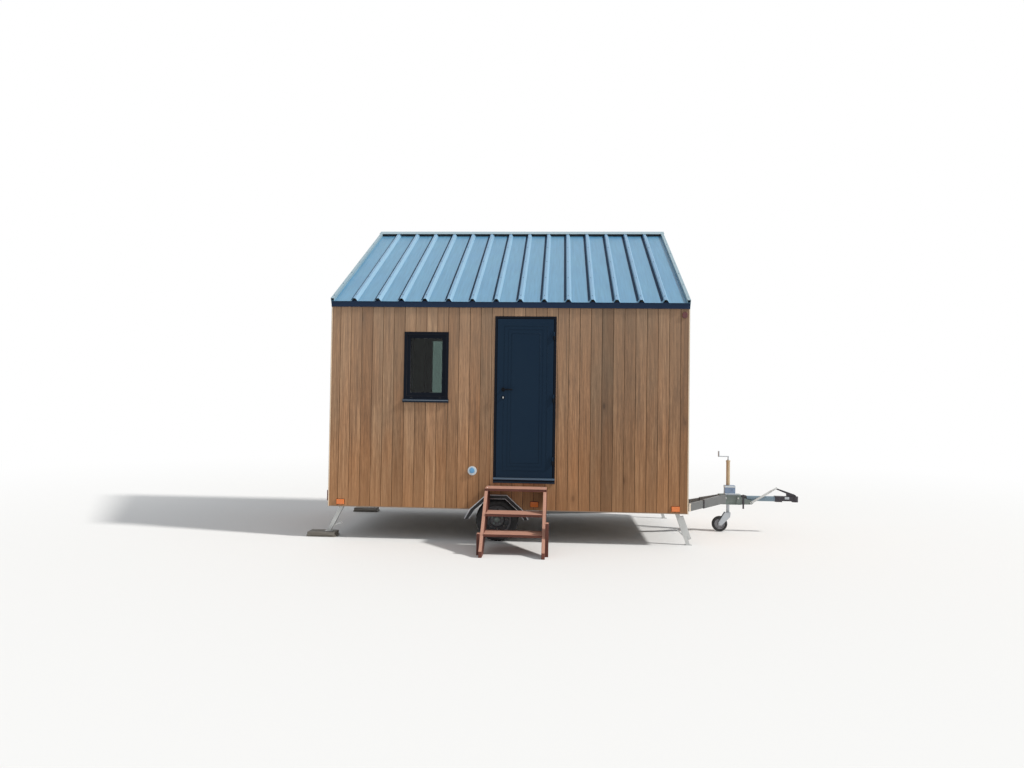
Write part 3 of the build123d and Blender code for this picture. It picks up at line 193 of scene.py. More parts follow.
def stretched(tree, place, scales):
    """Coordinates scaled apart along each axis."""
    return put(tree, "Mapping", Vector=place, Scale=scales).outputs[0]


def noise(tree, place, scale, detail, stretch=(1, 1, 1)):
    """Noise over stretched coordinates."""
    place = stretched(tree, place, stretch)
    node = put(tree, "TexNoise", Vector=place, Scale=scale, Detail=detail, Roughness=0.55)
    return node.outputs["Fac"]


def mix(tree, factor, a, b, blend="MIX"):
    """Two colours mixed."""
    node = put(tree, "Mix")
    node.data_type = "RGBA"
    node.blend_type = blend
    a, b = ((*colour, 1) if isinstance(colour, tuple) else colour for colour in (a, b))
    return fill(tree, node, Factor=factor, _6=a, _7=b).outputs[2]


def tinted(tree, base, tint):
    """A colour multiplied by another."""
    return mix(tree, 1.0, base, tint, "MULTIPLY")


def bump(tree, shader, height, strength, distance):
    """Surface relief from a height."""
    node = put(tree, "Bump", Height=height, Strength=strength, Distance=distance)
    fill(tree, shader, Normal=node.outputs[0])


def between(tree, value, start, end, low=0.0, high=1.0):
    """A value held between a start and an end, then brought to another range."""
    node = put(tree, "MapRange", Value=value, From_Min=start, From_Max=end, To_Min=low, To_Max=high)
    return node.outputs[0]


def scaled(tree, value, low, high):
    """A 0 to 1 value brought to another range."""
    return between(tree, value, 0.0, 1.0, low, high)


# Kinds of material

def wood(name, tones, along, knots, aged=None, wear_and_highlight=None):
    """Timber whose grain runs along one axis; each board takes its own tone from its attribute."""
    dark, middle, pale, warm, deep, knot, cool = tones
    material, tree, shader, place = shader_tree(name)
    tone = put(tree, "Attribute")
    tone.attribute_name = "tone"
    own = operate(tree, "VectorMath", "ADD", place, tone.outputs["Vector"])[0]

    def drawn_out(share):
        """Scales that draw a pattern out along the grain."""
        return [share if axis == along else 1.0 for axis in "XYZ"]

    fine = noise(tree, own, 230, 5, drawn_out(0.045))
    streak = noise(tree, own, 58, 4, drawn_out(0.022))
    patch = noise(tree, own, 5.5, 2, drawn_out(0.22))
    parts = split(tree, tone.outputs["Vector"])
    base = ramp(tree, parts["X"], [(0.0, dark), (0.5, middle), (1.0, pale)])
    hue = maths(tree, "FRACT", parts["Y"])
    base = mix(tree, ramp(tree, hue, [(0.0, grey(0.6)), (0.45, grey(0.05))]), base, warm)
    base = mix(tree, ramp(tree, hue, [(0.55, grey(0.0)), (1.0, grey(0.55))]), base, cool)
    base = mix(tree, scaled(tree, patch, -0.45, 1.15), base, warm)
    base = mix(tree, scaled(tree, streak, -0.85, 1.45), base, deep)
    rings = stretched(tree, own, drawn_out(0.07))
    figure = put(tree, "TexWave", Vector=rings, Scale=9.0, Distortion=7.0)
    fill(tree, figure, Detail=2.0, Detail_Scale=1.6)
    figure.bands_direction = "DIAGONAL"
    flame = ramp(tree, figure.outputs["Fac"], [(0.15, (0.89, 0.875, 0.86)), (0.75, grey(1.04))])
    grain = ramp(tree, fine, [(0.3, (0.62, 0.6, 0.58)), (0.64, (1.14, 1.13, 1.12))])
    base = tinted(tree, tinted(tree, base, flame), grain)
    spots = stretched(tree, own, drawn_out(0.42))
    cell = put(tree, "TexVoronoi", Vector=spots, Scale=3.3).outputs["Distance"]
    halo = ramp(tree, cell, [(0.05, grey(0.75)), (0.2, grey(0.0))])
    core = ramp(tree, cell, [(0.03, grey(1.0)), (0.075, grey(0.0))])
    base = mix(tree, scaled(tree, halo, 0, knots), base, deep)
    base = mix(tree, scaled(tree, core, 0, knots), base, knot)
    if aged:
        bleached, foot = aged
        height = split(tree, place)["Z"]
        base = mix(tree, between(tree, height, 1.0, 2.9, 0.0, 0.5), base, bleached)
        base = mix(tree, between(tree, height, 0.4, 1.5, 0.5, 0.0), base, foot)
        level = ramp(tree, parts["X"], [(0.0, grey(0.56)), (0.5, grey(0.95)), (1.0, grey(1.22))])
        base = tinted(tree, base, level)
    # Upward faces take a paler tone: a painted highlight where light falls on the tops.
    if wear_and_highlight:
        tread = between(tree, facing(tree, "Z"), 0.3, 0.75, 0.0, 0.85)
        base = mix(tree, tread, base, tinted(tree, grain, wear_and_highlight))
    fill(tree, shader, Base_Color=base, Roughness=scaled(tree, fine, 0.55, 0.8), Specular_IOR_Level=0.3)
    bump(tree, shader, mix(tree, 0.5, fine, streak), 0.35, 0.002)
    return material


def coated(name, colour, roughness, wear_and_highlight, metallic=0.0, level=0.5, ripple=0.0, streaks=0.0):
    """Coated metal or moulded plastic: a little dust, fine orange peel and uneven gloss."""
    material, tree, shader, place = shader_tree(name)
    cloud = noise(tree, place, 2.2, 4, (1, 1, 0.6))
    dust = noise(tree, place, 38, 5)
    base = mix(tree, scaled(tree, cloud, -0.2, 0.9), colour, wear_and_highlight)
    base = mix(tree, scaled(tree, dust, -0.15, 0.3), base, wear_and_highlight)
    if streaks:
        run = noise(tree, place, 46, 4, (1, 0.05, 0.05))
        base = tinted(tree, base, ramp(tree, run, [(0.3, grey(1 - streaks)), (0.7, grey(1 + streaks))]))
    gloss = scaled(tree, mix(tree, 0.4, cloud, dust), roughness - 0.08, roughness + 0.12)
    fill(tree, shader, Base_Color=base, Roughness=gloss, Metallic=metallic, Specular_IOR_Level=level)
    height = noise(tree, place, 900, 2)
    if ripple:
        height = mix(tree, ripple, height, noise(tree, place, 6, 2, (1, 0.25, 0.25)))
    bump(tree, shader, height, 0.08 + ripple * 0.3, 0.001 + ripple * 0.004)
    return material


def galvanised(name, tone, metallic=0.85, roughness=0.42):
    """Hot-dip zinc: soft crystal spangle, dull streaks and rain marks."""
    material, tree, shader, place = shader_tree(name)
    cell = put(tree, "TexVoronoi", Vector=place, Scale=95.0)
    flake = split(tree, cell.outputs["Color"])["X"]
    cloud = noise(tree, place, 7, 5, (1, 1, 0.5))
    light = tuple(min(1, v * 1.14) for v in tone)
    dull = tuple(v * 0.78 for v in tone)
    base = mix(tree, scaled(tree, flake, 0, 0.5), tone, light)
    base = mix(tree, scaled(tree, cloud, -0.4, 1.1), base, dull)
    gloss = scaled(tree, mix(tree, 0.5, flake, cloud), roughness - 0.1, roughness + 0.16)
    fill(tree, shader, Base_Color=base, Roughness=gloss, Metallic=metallic)
    bump(tree, shader, mix(tree, 0.5, cloud, flake), 0.12, 0.001)
    return material


def painted_beyond(material, start, colour):
    """The same material, painted from a place along X onwards."""
    tree, shader, place, bare = reopened(material)
    painted = between(tree, split(tree, place)["X"], start - 0.001, start + 0.001)
    paint = ramp(tree, noise(tree, place, 60, 4), [(0.35, colour), (0.75, tuple(1.6 * v for v in colour))])
    fill(tree, shader, Base_Color=mix(tree, painted, bare, paint))


def painted_crest_highlights(material, crest_highlight, sunward_flank_highlight):
    """The same coating with painted highlights: paler along the rib tops and on their flanks towards the
    hitch, where the key light falls.
    """
    tree, shader, place, base = reopened(material)
    lift = operate(tree, "VectorMath", "DOT_PRODUCT", place, ROOF_NORMAL)["Value"]
    crown = on_roof(0, 0, RIB_HEIGHT).dot(ROOF_NORMAL)
    base = mix(tree, between(tree, lift, crown - 0.006, crown - 0.002, 0.0, 0.45), base, crest_highlight)
    base = mix(tree, between(tree, facing(tree, "X"), 0.3, 0.6, 0.0, 0.6), base, sunward_flank_highlight)
    fill(tree, shader, Base_Color=base)


def rubber(name, colour):
    """Matt rubber with road dust."""
    material, tree, shader, place = shader_tree(name)
    dust = noise(tree, place, 14, 6)
    base = ramp(tree, dust, [(0.42, colour), (0.72, tuple(v * 1.6 + 0.03 for v in colour))])
    fill(tree, shader, Base_Color=base, Roughness=scaled(tree, dust, 0.62, 0.92))
    bump(tree, shader, noise(tree, place, 420, 3), 0.2, 0.001)
    return material


def lens(name, colour, deep):
    """A moulded lens with fine prisms behind a glossy skin."""
    material, tree, shader, place = shader_tree(name)
    prisms = put(tree, "TexWave", Vector=place, Scale=95.0, Distortion=0.4).outputs["Fac"]
    base = mix(tree, scaled(tree, prisms, 0, 0.55), colour, deep)
    base = mix(tree, scaled(tree, noise(tree, place, 30, 3), -0.1, 0.3), base, deep)
    fill(tree, shader, Base_Color=base, Roughness=0.22, Coat_Weight=0.6)
    bump(tree, shader, prisms, 0.25, 0.001)
    return material


def glazing(name):
    """Double glazing, faintly green, a little dusty, and coated so that it reflects less."""
    material, tree, shader, place = shader_tree(name)
    dust = noise(tree, place, 9, 5)
    tint = ramp(tree, dust, [(0.35, (0.27, 0.34, 0.32)), (0.8, (0.24, 0.3, 0.28))])
    fill(tree, shader, Base_Color=tint, Roughness=scaled(tree, dust, 0.0, 0.05))
    fill(tree, shader, Transmission_Weight=1.0, IOR=1.3, Specular_IOR_Level=0.25)
    return material


def lining(name, pale, dark, cover, axis, roughness=0.5):
    """Smooth panelling or floor boards with fine joints across one axis."""
    material, tree, shader, place = shader_tree(name)
    boards = maths(tree, "MULTIPLY", split(tree, place)[axis], 1 / cover)
    joint = ramp(tree, maths(tree, "FRACT", boards), [(0.0, grey(0.0)), (0.03, grey(1.0))])
    own = put(tree, "TexWhiteNoise", Vector=maths(tree, "FLOOR", boards)).outputs[0]
    grain = noise(tree, place, 26, 6, (0.12, 1, 1) if axis == "Y" else (1, 1, 0.12))
    base = mix(tree, scaled(tree, grain, -0.2, 1.0), pale, dark)
    base = mix(tree, scaled(tree, own, 0, 0.35), base, dark)
    base = mix(tree, joint, tuple(v * 0.35 for v in dark), base)
    fill(tree, shader, Base_Color=base, Roughness=scaled(tree, grain, roughness - 0.1, roughness + 0.15))
    bump(tree, shader, joint, 0.6, 0.002)
    return material


# Materials of this house

# Tones of a timber: dark, middle and pale boards, warm patch, deep grain, knot, cool board.
BROWNS = (
    (0.190, 0.110, 0.062),
    (0.440, 0.270, 0.151),
    (0.590, 0.385, 0.232),
    (0.400, 0.188, 0.082),
    (0.150, 0.080, 0.043),
    (0.055, 0.026, 0.015),
    (0.285, 0.205, 0.130),
)
# Dark step tones, so that the upright faces of the steps read as painted shade.
STEP_TONES = (
    (0.150, 0.054, 0.039),
    (0.225, 0.090, 0.066),
    (0.290, 0.125, 0.095),
    (0.160, 0.055, 0.038),
    (0.075, 0.026, 0.020),
    (0.040, 0.014, 0.010),
    (0.170, 0.080, 0.060),
)
PAD_TONES = (
    (0.25, 0.24, 0.22),
    (0.33, 0.32, 0.29),
    (0.40, 0.39, 0.36),
    (0.24, 0.22, 0.19),
    (0.12, 0.115, 0.105),
    (0.07, 0.065, 0.060),
    (0.22, 0.22, 0.21),
)
# Paler tone for the steps' upward faces: a painted highlight.
LIT_TOP_TONE = (0.58, 0.32, 0.235)
# The same boards bleached high up, and warmer at the foot of the wall.
AGED_BROWNS = ((0.320, 0.228, 0.158), (0.400, 0.190, 0.076))
BOARD_WOOD = wood("oiled_boards", BROWNS, "Z", knots=0.8, aged=AGED_BROWNS)
TREAD_WOOD = wood("stained_treads", STEP_TONES, "X", knots=0.3, wear_and_highlight=LIT_TOP_TONE)
SIDE_WOOD = wood("stained_sides", STEP_TONES, "Z", knots=0.3, wear_and_highlight=LIT_TOP_TONE)
PAD_WOOD = wood("weathered_pads", PAD_TONES, "X", knots=0.4)
MEMBRANE = coated("backing_membrane", (0.02, 0.017, 0.015), 0.85, (0.03, 0.024, 0.02), level=0.1)
# A dark anthracite coating whose blue, pale base colour is a painted sky reflection.
ROOF_SKY_PAINTED_METAL = coated(
    "roof_coating_painted_sky", (0.082, 0.238, 0.4), 0.36, (0.135, 0.3, 0.415), level=0.4, streaks=0.1, ripple=0.5
)
# Painted highlights on the rib tops and on the rib flanks that face the key light.
painted_crest_highlights(ROOF_SKY_PAINTED_METAL, crest_highlight=(0.215, 0.355, 0.52), sunward_flank_highlight=(0.3, 0.47, 0.6))
TRIM_METAL = coated("trim_coating", (0.235, 0.345, 0.4), 0.34, (0.26, 0.36, 0.405), level=0.4)
# Painted shadow: the dark blue of the strips beside the ribs.
RIB_SHADOW_PAINT = coated("painted_rib_shadow", (0.006, 0.026, 0.064), 0.6, (0.01, 0.036, 0.08), level=0.12)
SCREW_PAINT = coated("screw_paint", (0.06, 0.115, 0.19), 0.34, (0.1, 0.16, 0.23), metallic=0.2)
FASCIA_METAL = coated("fascia_coating", (0.0118, 0.0265, 0.063), 0.46, (0.018, 0.036, 0.074), level=0.14)
FRAME_PAINT = coated("frame_coating", (0.0046, 0.0068, 0.0125), 0.5, (0.0075, 0.0105, 0.017), level=0.08)
LEAF_PAINT = coated("leaf_coating", (0.0072, 0.02, 0.0415), 0.48, (0.011, 0.026, 0.047), level=0.08)
HANDLE_METAL = coated("handle_metal", (0.0036, 0.0046, 0.007), 0.46, (0.006, 0.007, 0.01), level=0.1)
THRESHOLD_METAL = coated("threshold_coating", (0.062, 0.115, 0.185), 0.36, (0.085, 0.13, 0.18), level=0.4)
BRIGHT_METAL = coated("bright_metal", (0.66, 0.67, 0.68), 0.3, (0.5, 0.5, 0.5), metallic=0.9)
SILL_METAL = coated("sill_coating", (0.0085, 0.015, 0.026), 0.44, (0.014, 0.021, 0.032), level=0.15)
# Painted highlight: the pale strip on the top edge of each sill.
SILL_HIGHLIGHT_METAL = coated("sill_painted_highlight", (0.19, 0.235, 0.29), 0.36, (0.15, 0.185, 0.235), level=0.3)
BEAD_METAL = coated("bead_coating", (0.82, 0.66, 0.49), 0.4, (0.7, 0.55, 0.4), level=0.3)
STRIP_METAL = coated("strip_coating", (0.38, 0.27, 0.19), 0.5, (0.28, 0.19, 0.13), level=0.3)
ZINC = galvanised("galvanised_steel", (0.48, 0.51, 0.54))
FRAME_ZINC = galvanised("galvanised_frame", (0.205, 0.212, 0.212), metallic=0.4, roughness=0.46)
CLAMP_ZINC = galvanised("galvanised_clamp", (0.23, 0.31, 0.44), metallic=0.4)
BAND_ZINC = galvanised("galvanised_bands", (0.66, 0.72, 0.76), metallic=0.4)
PLATE_ZINC = galvanised("galvanised_plates", (0.8, 0.72, 0.61), metallic=0.3)
TUBE_ZINC = galvanised("galvanised_tube", (0.6, 0.455, 0.29), metallic=0.35)
BRIGHT_ZINC = galvanised("galvanised_steady", (0.58, 0.59, 0.58), metallic=0.5)
CAST_ZINC = galvanised("galvanised_casting", (0.19, 0.225, 0.21), metallic=0.4, roughness=0.48)
CHASSIS_ZINC = galvanised("galvanised_chassis", (0.33, 0.35, 0.36), metallic=0.6, roughness=0.5)
DARK_CAST = galvanised("painted_casting", (0.048, 0.043, 0.05), metallic=0.2, roughness=0.42)
COUPLING_ZINC = galvanised("galvanised_coupling", (0.21, 0.29, 0.35), metallic=0.4)
COUPLING_HEAD_X = 5.76
painted_beyond(COUPLING_ZINC, ORIGIN.x + COUPLING_HEAD_X, (0.04, 0.036, 0.042))
WHEEL_PAINT = coated("wheel_paint", (0.095, 0.093, 0.1), 0.36, (0.07, 0.066, 0.07), metallic=0.3)
JOCKEY_RIM_PAINT = coated("jockey_rim_paint", (0.26, 0.26, 0.28), 0.4, (0.19, 0.18, 0.18), metallic=0.3)
TYRE_RUBBER = rubber("tyre_rubber", (0.016, 0.016, 0.017))
GASKET = rubber("gasket_rubber", (0.012, 0.012, 0.013))
BLACK_PLASTIC = coated("guard_plastic", (0.012, 0.013, 0.016), 0.34, (0.024, 0.024, 0.026), level=0.35)
# Painted glint: the pale colour of the mudguards' rolled edges.
GUARD_GLINT = coated("guard_edge_painted_glint", (0.8, 0.8, 0.82), 0.26, (0.66, 0.66, 0.68), metallic=0.2)
WHITE_PLASTIC = coated("white_plastic", (0.62, 0.66, 0.68), 0.32, (0.52, 0.56, 0.58))
BLUE_PLASTIC = coated("blue_plastic", (0.12, 0.33, 0.58), 0.28, (0.16, 0.36, 0.56))
AMBER = lens("amber_lens", (0.86, 0.225, 0.034), (0.6, 0.115, 0.012))
RED = lens("red_lens", (0.12, 0.007, 0.012), (0.048, 0.003, 0.005))
GLASS = glazing("double_glazing")
FLOOR_BOARDS = lining("floor_boards", (0.42, 0.29, 0.17), (0.28, 0.18, 0.1), 0.14, "Y")
WALL_LINING = lining("wall_lining", (0.3, 0.225, 0.155), (0.24, 0.17, 0.11), 0.12, "X", 0.6)


# Mesh building

def linked(name, data):
    """A new object in the scene."""
    thing = bpy.data.objects.new(name, data)
    bpy.context.scene.collection.objects.link(thing)
    return thing


def new_piece(name, mesh, material, body="root", bevel=0.0, smooth=False):
    """A named piece that rides a body, with softened edges."""
    data = bpy.data.meshes.new(name)
    bmesh.ops.recalc_face_normals(mesh, faces=mesh.faces)
    mesh.to_mesh(data)
    mesh.free()
    piece = linked(name, data)
    data.materials.append(material)
    if bevel:
        soften(piece, bevel)
    if smooth:
        data.shade_smooth()
        data.set_sharp_from_angle(angle=radians(40))
    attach(piece, body)
    return piece


def soften(piece, width, segments=2, weld=False):
    """Small rounded edges, as real folded, sawn or cast parts have."""
    if weld:
        joined = piece.modifiers.new("weld", "WELD")
        joined.merge_threshold = 0.00005
    edge = piece.modifiers.new("edges", "BEVEL")
    edge.width = width
    edge.segments = segments
    edge.limit_method = "ANGLE"
    edge.angle_limit = radians(32)
    edge.harden_normals = True


def add_box(mesh, corner, opposite):
    """A box between two opposite corners in house coordinates."""
    xs, ys, zs = (sorted(pair) for pair in zip(corner, opposite))
    corners = [mesh.verts.new(at(x, y, z)) for x in xs for y in ys for z in zs]
    for quad in ((0, 1, 3, 2), (4, 6, 7, 5), (0, 4, 5, 1), (2, 3, 7, 6), (0, 2, 6, 4), (1, 5, 7, 3)):
        mesh.faces.new([corners[i] for i in quad])


def box_piece(name, pairs, material, bevel, body="root"):
    """A piece made of boxes, each between two opposite corners."""
    mesh = bmesh.new()
    for corner, opposite in pairs:
        add_box(mesh, corner, opposite)
    new_piece(name, mesh, material, body, bevel)


def add_loft(mesh, near, far, tone=None):
    """A solid between two rings of places; its faces may take a board's tone."""
    first, last = ([mesh.verts.new(place) for place in ring] for ring in (near, far))
    faces = [mesh.faces.new(first), mesh.faces.new(last[::-1])]
    for i in range(len(first)):
        j = (i + 1) % len(first)
        faces.append(mesh.faces.new((first[j], first[i], last[i], last[j])))
    if tone is not None:
        layer = mesh.faces.layers.float_vector["tone"]
        for face in faces:
            face[layer] = tone


def add_prism(mesh, outline, near, far, place, tone=None):
    """A prism between two depths; place(u, v, depth) gives each corner."""
    add_loft(mesh, *([place(u, v, depth) for u, v in outline] for depth in (near, far)), tone)


def spun(profile, segments, centre, wobble=None):
    """A ring turned about Y from (radius, along) points; wobble(segment, index) changes a radius."""
    mesh = bmesh.new()
    rings = []
    for s in range(segments):
        angle = 2 * pi * s / segments
        ring = []
        for index, (radius, along) in enumerate(profile):
            reach = radius + (wobble(s, index) if wobble else 0)
            ring.append(mesh.verts.new(centre + Vector((reach * cos(angle), along, reach * sin(angle)))))
        rings.append(ring)
    for ring, following in zip(rings, rings[1:] + rings[:1]):
        for i in range(len(ring)):
            j = (i + 1) % len(ring)
            mesh.faces.new((ring[i], ring[j], following[j], following[i]))
    return mesh


def spun_cap(profile, centre):
    """A solid turned about Y whose profile starts and ends on its axis."""
    mesh = spun(profile, 40, centre)
    bmesh.ops.remove_doubles(mesh, verts=mesh.verts, dist=0.00002)
    return mesh


def mirrored_profile(half):
    """Both halves of a profile of (radius, along) points."""
    return half + [(radius, -along) for radius, along in half[::-1]]


def add_cone(mesh, matrix, segments, radius, top, depth):
    """A peg along the Z of its matrix, with a radius for each end."""
    sizes = {"radius1": radius, "radius2": top, "depth": depth}
    bmesh.ops.create_cone(mesh, cap_ends=True, segments=segments, matrix=matrix, **sizes)


def add_bolt(mesh, centre, direction, radius, height):
    """A washer, a hexagon head and its rounded end, standing on a surface."""
    turn = Vector(direction).to_track_quat("Z", "Y").to_matrix().to_4x4()
    base = Matrix.Translation(centre) @ turn
    for sides, size, low, high, top in (
        (20, 1.55, 0.0, 0.22, 1.5),
        (6, 1.0, 0.2, 0.92, 1.0),
        (6, 1.0, 0.9, 1.0, 0.84),
        (14, 0.52, 0.98, 1.35, 0.42),
    ):
        middle = base @ Matrix.Translation((0, 0, (low + high) / 2 * height))
        add_cone(mesh, middle, sides, radius * size, radius * top, (high - low) * height)


def add_peg(mesh, middle, radius, depth, taper, segments):
    """A round peg along Y, narrower at the end that faces the door side."""
    matrix = Matrix.Translation(at(*middle)) @ Matrix.Rotation(pi / 2, 4, "X")
    add_cone(mesh, matrix, segments, radius, radius * taper, depth)


def tube(name, points, radius, material, body="root", closed=False):
    """A smooth bead or rod along points in house coordinates."""
    curve = bpy.data.curves.new(name, "CURVE")
    curve.dimensions = "3D"
    curve.bevel_depth = radius
    curve.bevel_resolution = 3
    curve.use_fill_caps = True
    line = curve.splines.new("POLY")
    line.points.add(len(points) - 1)
    for knot, point in zip(line.points, points):
        knot.co = (*at(*point), 1)
    line.use_cyclic_u = closed
    piece = linked(name, curve)
    curve.materials.append(material)
    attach(piece, body)


def inset(opening, amount):
    """An X and Z opening made smaller on all four sides."""
    x0, x1, z0, z1 = opening
    return x0 + amount, x1 - amount, z0 + amount, z1 - amount


def round_opening(opening, y):
    """The four corners of an X and Z opening at a Y."""
    x0, x1, z0, z1 = opening
    return [(x0, y, z0), (x1, y, z0), (x1, y, z1), (x0, y, z1)]


# Boards

BOARD_COVER = 0.1348
FIRST_JOINT = 0.117
BOARD_GAP = 0.005
BOARD_THICKNESS = 0.016
NARROWEST_BOARD = 0.03
SLIVER = 0.002
BOARD_LIFT = 0.0006
STRIP_HEIGHT = 0.011
ARCH_CROWN = (0.1261, 0.5803)
ARCH_SHOULDER = (0.3234, 0.4)
DOOR_SIDE = 1
# Painted shade: the door side's boards darken step by step towards the hitch end.
PAINTED_SHADE_FROM = 17
PAINTED_SHADE_BOARDS = 9
PAINTED_SHADE_STEP = 0.021
DARKEST_SHADE = 0.33
DARK_BOARD = 25
DARK_BOARD_DROP = 0.36


def tone_of(index, wall):
    """A repeatable tone vector for a board: its shade, then two offsets for its grain."""
    a = (index * 0.6180339 + wall * 0.37) % 1.0
    b = (index * 0.4142135 + wall * 0.71 + 0.2) % 1.0
    shade = 0.34 + 0.4 * a + 0.14 * b
    # Painted shade on the door side's boards towards the hitch end.
    if wall == DOOR_SIDE:
        shaded = max(0, min(PAINTED_SHADE_BOARDS, index - PAINTED_SHADE_FROM))
        shade = max(DARKEST_SHADE, shade - PAINTED_SHADE_STEP * shaded)
        shade -= DARK_BOARD_DROP if index == DARK_BOARD else 0
    return Vector((max(0.0, shade), b * 7.0, a * 5.0))


def crossing(points, u):
    """Height of a polyline at u."""
    for (u0, v0), (u1, v1) in zip(points, points[1:]):
        if u0 <= u <= u1:
            return v0 + (v1 - v0) * (u - u0) / (u1 - u0) if u1 > u0 else v0
    return points[-1][1]


def stretch_of(line, a, b):
    """The part of a line between two places, with its ends."""
    return [(a, crossing(line, a))] + [p for p in line if a < p[0] < b] + [(b, crossing(line, b))]


def flat_line(z):
    """A level line that reaches past both ends of a wall."""
    return [(-1.0, z), (9.0, z)]


def arch_line(z):
    """A level line that rises over the wheel, from the mudguard's shape."""
    (crown, top), (shoulder, low) = ARCH_CROWN, ARCH_SHOULDER
    reach = crown + (shoulder - crown) * (top - SKIRT_Z) / (top - low) + 0.0001
    arch = [(-reach, z), (-crown, top + z - SKIRT_Z), (crown, top + z - SKIRT_Z), (reach, z)]
    start, end = flat_line(z)
    return [start] + [(AXLE_X + u, v) for u, v in arch] + [end]


def board_joints(start, end):
    """Where one board ends and the next begins, with both ends of the wall."""
    joints = [FIRST_JOINT + i * BOARD_COVER for i in range(-1, 80)]
    return [start] + [j for j in joints if start + NARROWEST_BOARD < j < end - NARROWEST_BOARD] + [end]


def strip_joints(start, end, holes):
    """Joints at the sides of the holes only, for wide strips of backing."""
    return sorted({start, end, *[side for hole in holes for side in hole[:2]]})


def outlines(joints, gap, low, high, holes):
    """Numbered outlines between joints: clear of the holes, cut along the low and high lines."""
    shapes = []
    for index, (a, b) in enumerate(zip(joints, joints[1:])):
        u0 = a + (gap / 2 if a > joints[0] else 0)
        u1 = b - (gap / 2 if b < joints[-1] else 0)
        under = stretch_of(low, u0, u1)
        over = stretch_of(high, u0, u1)[::-1]
        cut = [h for h in holes if h[0] < u1 - SLIVER and h[1] > u0 + SLIVER]
        if not cut:
            shapes.append((index, under + over))
            continue
        h0, h1, z0, z1 = cut[0]
        if h0 <= u0 + SLIVER and h1 >= u1 - SLIVER:
            shapes.append((index, under + [(u1, z0), (u0, z0)]))
            shapes.append((index, [(u0, z1), (u1, z1)] + over))
        elif h0 > u0:
            shapes.append((index, under + [(u1, z0), (h0, z0), (h0, z1), (u1, z1)] + over))
        else:
            shapes.append((index, under + over + [(u0, z1), (h1, z1), (h1, z0), (u0, z0)]))
    return shapes


def cladding(name, nodes, shapes, place, wall):
    """Boards standing proud of a dark backing, which replace the plain cladding."""
    mesh = bmesh.new()
    mesh.faces.layers.float_vector.new("tone")
    for index, outline in shapes:
        add_prism(mesh, outline, 0.0, BOARD_THICKNESS, place, tone_of(index, wall))
    piece = new_piece(name, mesh, BOARD_WOOD, bevel=0.0016)
    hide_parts(*nodes)


def backing(name, shapes, place):
    """The dark membrane and battens behind the joints between boards."""
    mesh = bmesh.new()
    for _, outline in shapes:
        add_prism(mesh, outline, BOARD_THICKNESS - 0.001, CLADDING - 0.0005, place)
    new_piece(name, mesh, MEMBRANE)


def wall_place(across, base, inward):
    """Places on a wall along X, or across the house along Y: u along it, v up, depth inwards."""

    def place(u, v, depth):
        """A place on this wall."""
        off = base + inward * depth
        return at(off, u, v) if across else at(u, off, v)

    return place


def opening_of(node, keep):
    """Low and high X and Z of the part of a node whose Y passes a test."""
    seen = NODES[node]
    points = [seen.matrix_world @ v.co - ORIGIN for v in seen.data.vertices]
    kept = [p for p in points if keep(p.y)]
    across, up = [p.x for p in kept], [p.z for p in kept]
    return min(across), max(across), min(up), max(up)


FRONT_WINDOW = opening_of("window_frames", lambda y: y < WIDTH / 2)
BACK_WINDOW = opening_of("window_frames", lambda y: y > WIDTH / 2)
DOOR_HOLE = (DOOR_LOW.x, DOOR_HIGH.x, house_box("sills")[0].z, DOOR_HIGH.z)
LOW_LINE = arch_line(SKIRT_Z + BOARD_LIFT)
LONG_ENDS = (0.0, LENGTH)
SHORT_ENDS = (CLADDING, WIDTH - CLADDING)


def boarded_walls():
    """The boards and the backing of the door side, the back, the rear end and the hitch end."""
    front_nodes = [f"front_cladding_{part}" for part in ("left", "right", "over_door", "below_door")]
    front = (LOW_LINE, flat_line(WALL_TOP_Z), [FRONT_WINDOW, DOOR_HOLE])
    back = (LOW_LINE, flat_line(roof_line(WIDTH - CLADDING)), [BACK_WINDOW])
    end = (flat_line(SKIRT_Z + BOARD_LIFT), [(y, roof_line(y)) for y in (0.0, WIDTH)], [])
    walls = (
        ("front", "front", front_nodes, LONG_ENDS, front, wall_place(False, 0.0, 1)),
        ("back", "back", ["back_cladding"], LONG_ENDS, back, wall_place(False, WIDTH, -1)),
        ("rear", "rear_boards", ["rear_end_cladding"], SHORT_ENDS, end, wall_place(True, 0.0, 1)),
        ("hitch", "hitch_boards", ["hitch_end_cladding"], SHORT_ENDS, end, wall_place(True, LENGTH, -1)),
    )
    for wall, (side, behind, nodes, ends, shape, place) in enumerate(walls, start=DOOR_SIDE):
        cladding(f"{side}_boards", nodes, outlines(board_joints(*ends), BOARD_GAP, *shape), place, wall)
        backing(f"{behind}_backing", outlines(strip_joints(*ends, shape[-1]), 0.0, *shape), place)


def skirt_strips():
    """The slim profile that hangs under the foot of the boards: a web between two lips."""
    low, high = SKIRT_Z - STRIP_HEIGHT, SKIRT_Z
    long_runs = ((0.001, LOW_LINE[1][0]), (LOW_LINE[4][0], LENGTH - 0.001))
    walls = [(base, inward, long_runs, False) for base, inward in LONG_SIDES]
    walls += [(base, inward, (SHORT_ENDS,), True) for base, inward in ((0.0, 1), (LENGTH, -1))]
    pairs = []
    for base, inward, runs, across in walls:
        near, far = sorted((base + inward * 0.002, base + inward * (CLADDING - 0.002)))
        web = (near, far, low + 0.003, high)
        near_lip = (near - 0.001, near + 0.002, low, high - 0.001)
        far_lip = (far - 0.002, far + 0.001, low, high - 0.001)
        for start, stop in runs:
            for a, b, foot, head in (web, near_lip, far_lip):
                along_y = ((a, start, foot), (b, stop, head))
                pairs.append(along_y if across else ((start, a, foot), (stop, b, head)))
    box_piece("skirt_strips", pairs, STRIP_METAL, 0.0006)


# Carried nodes

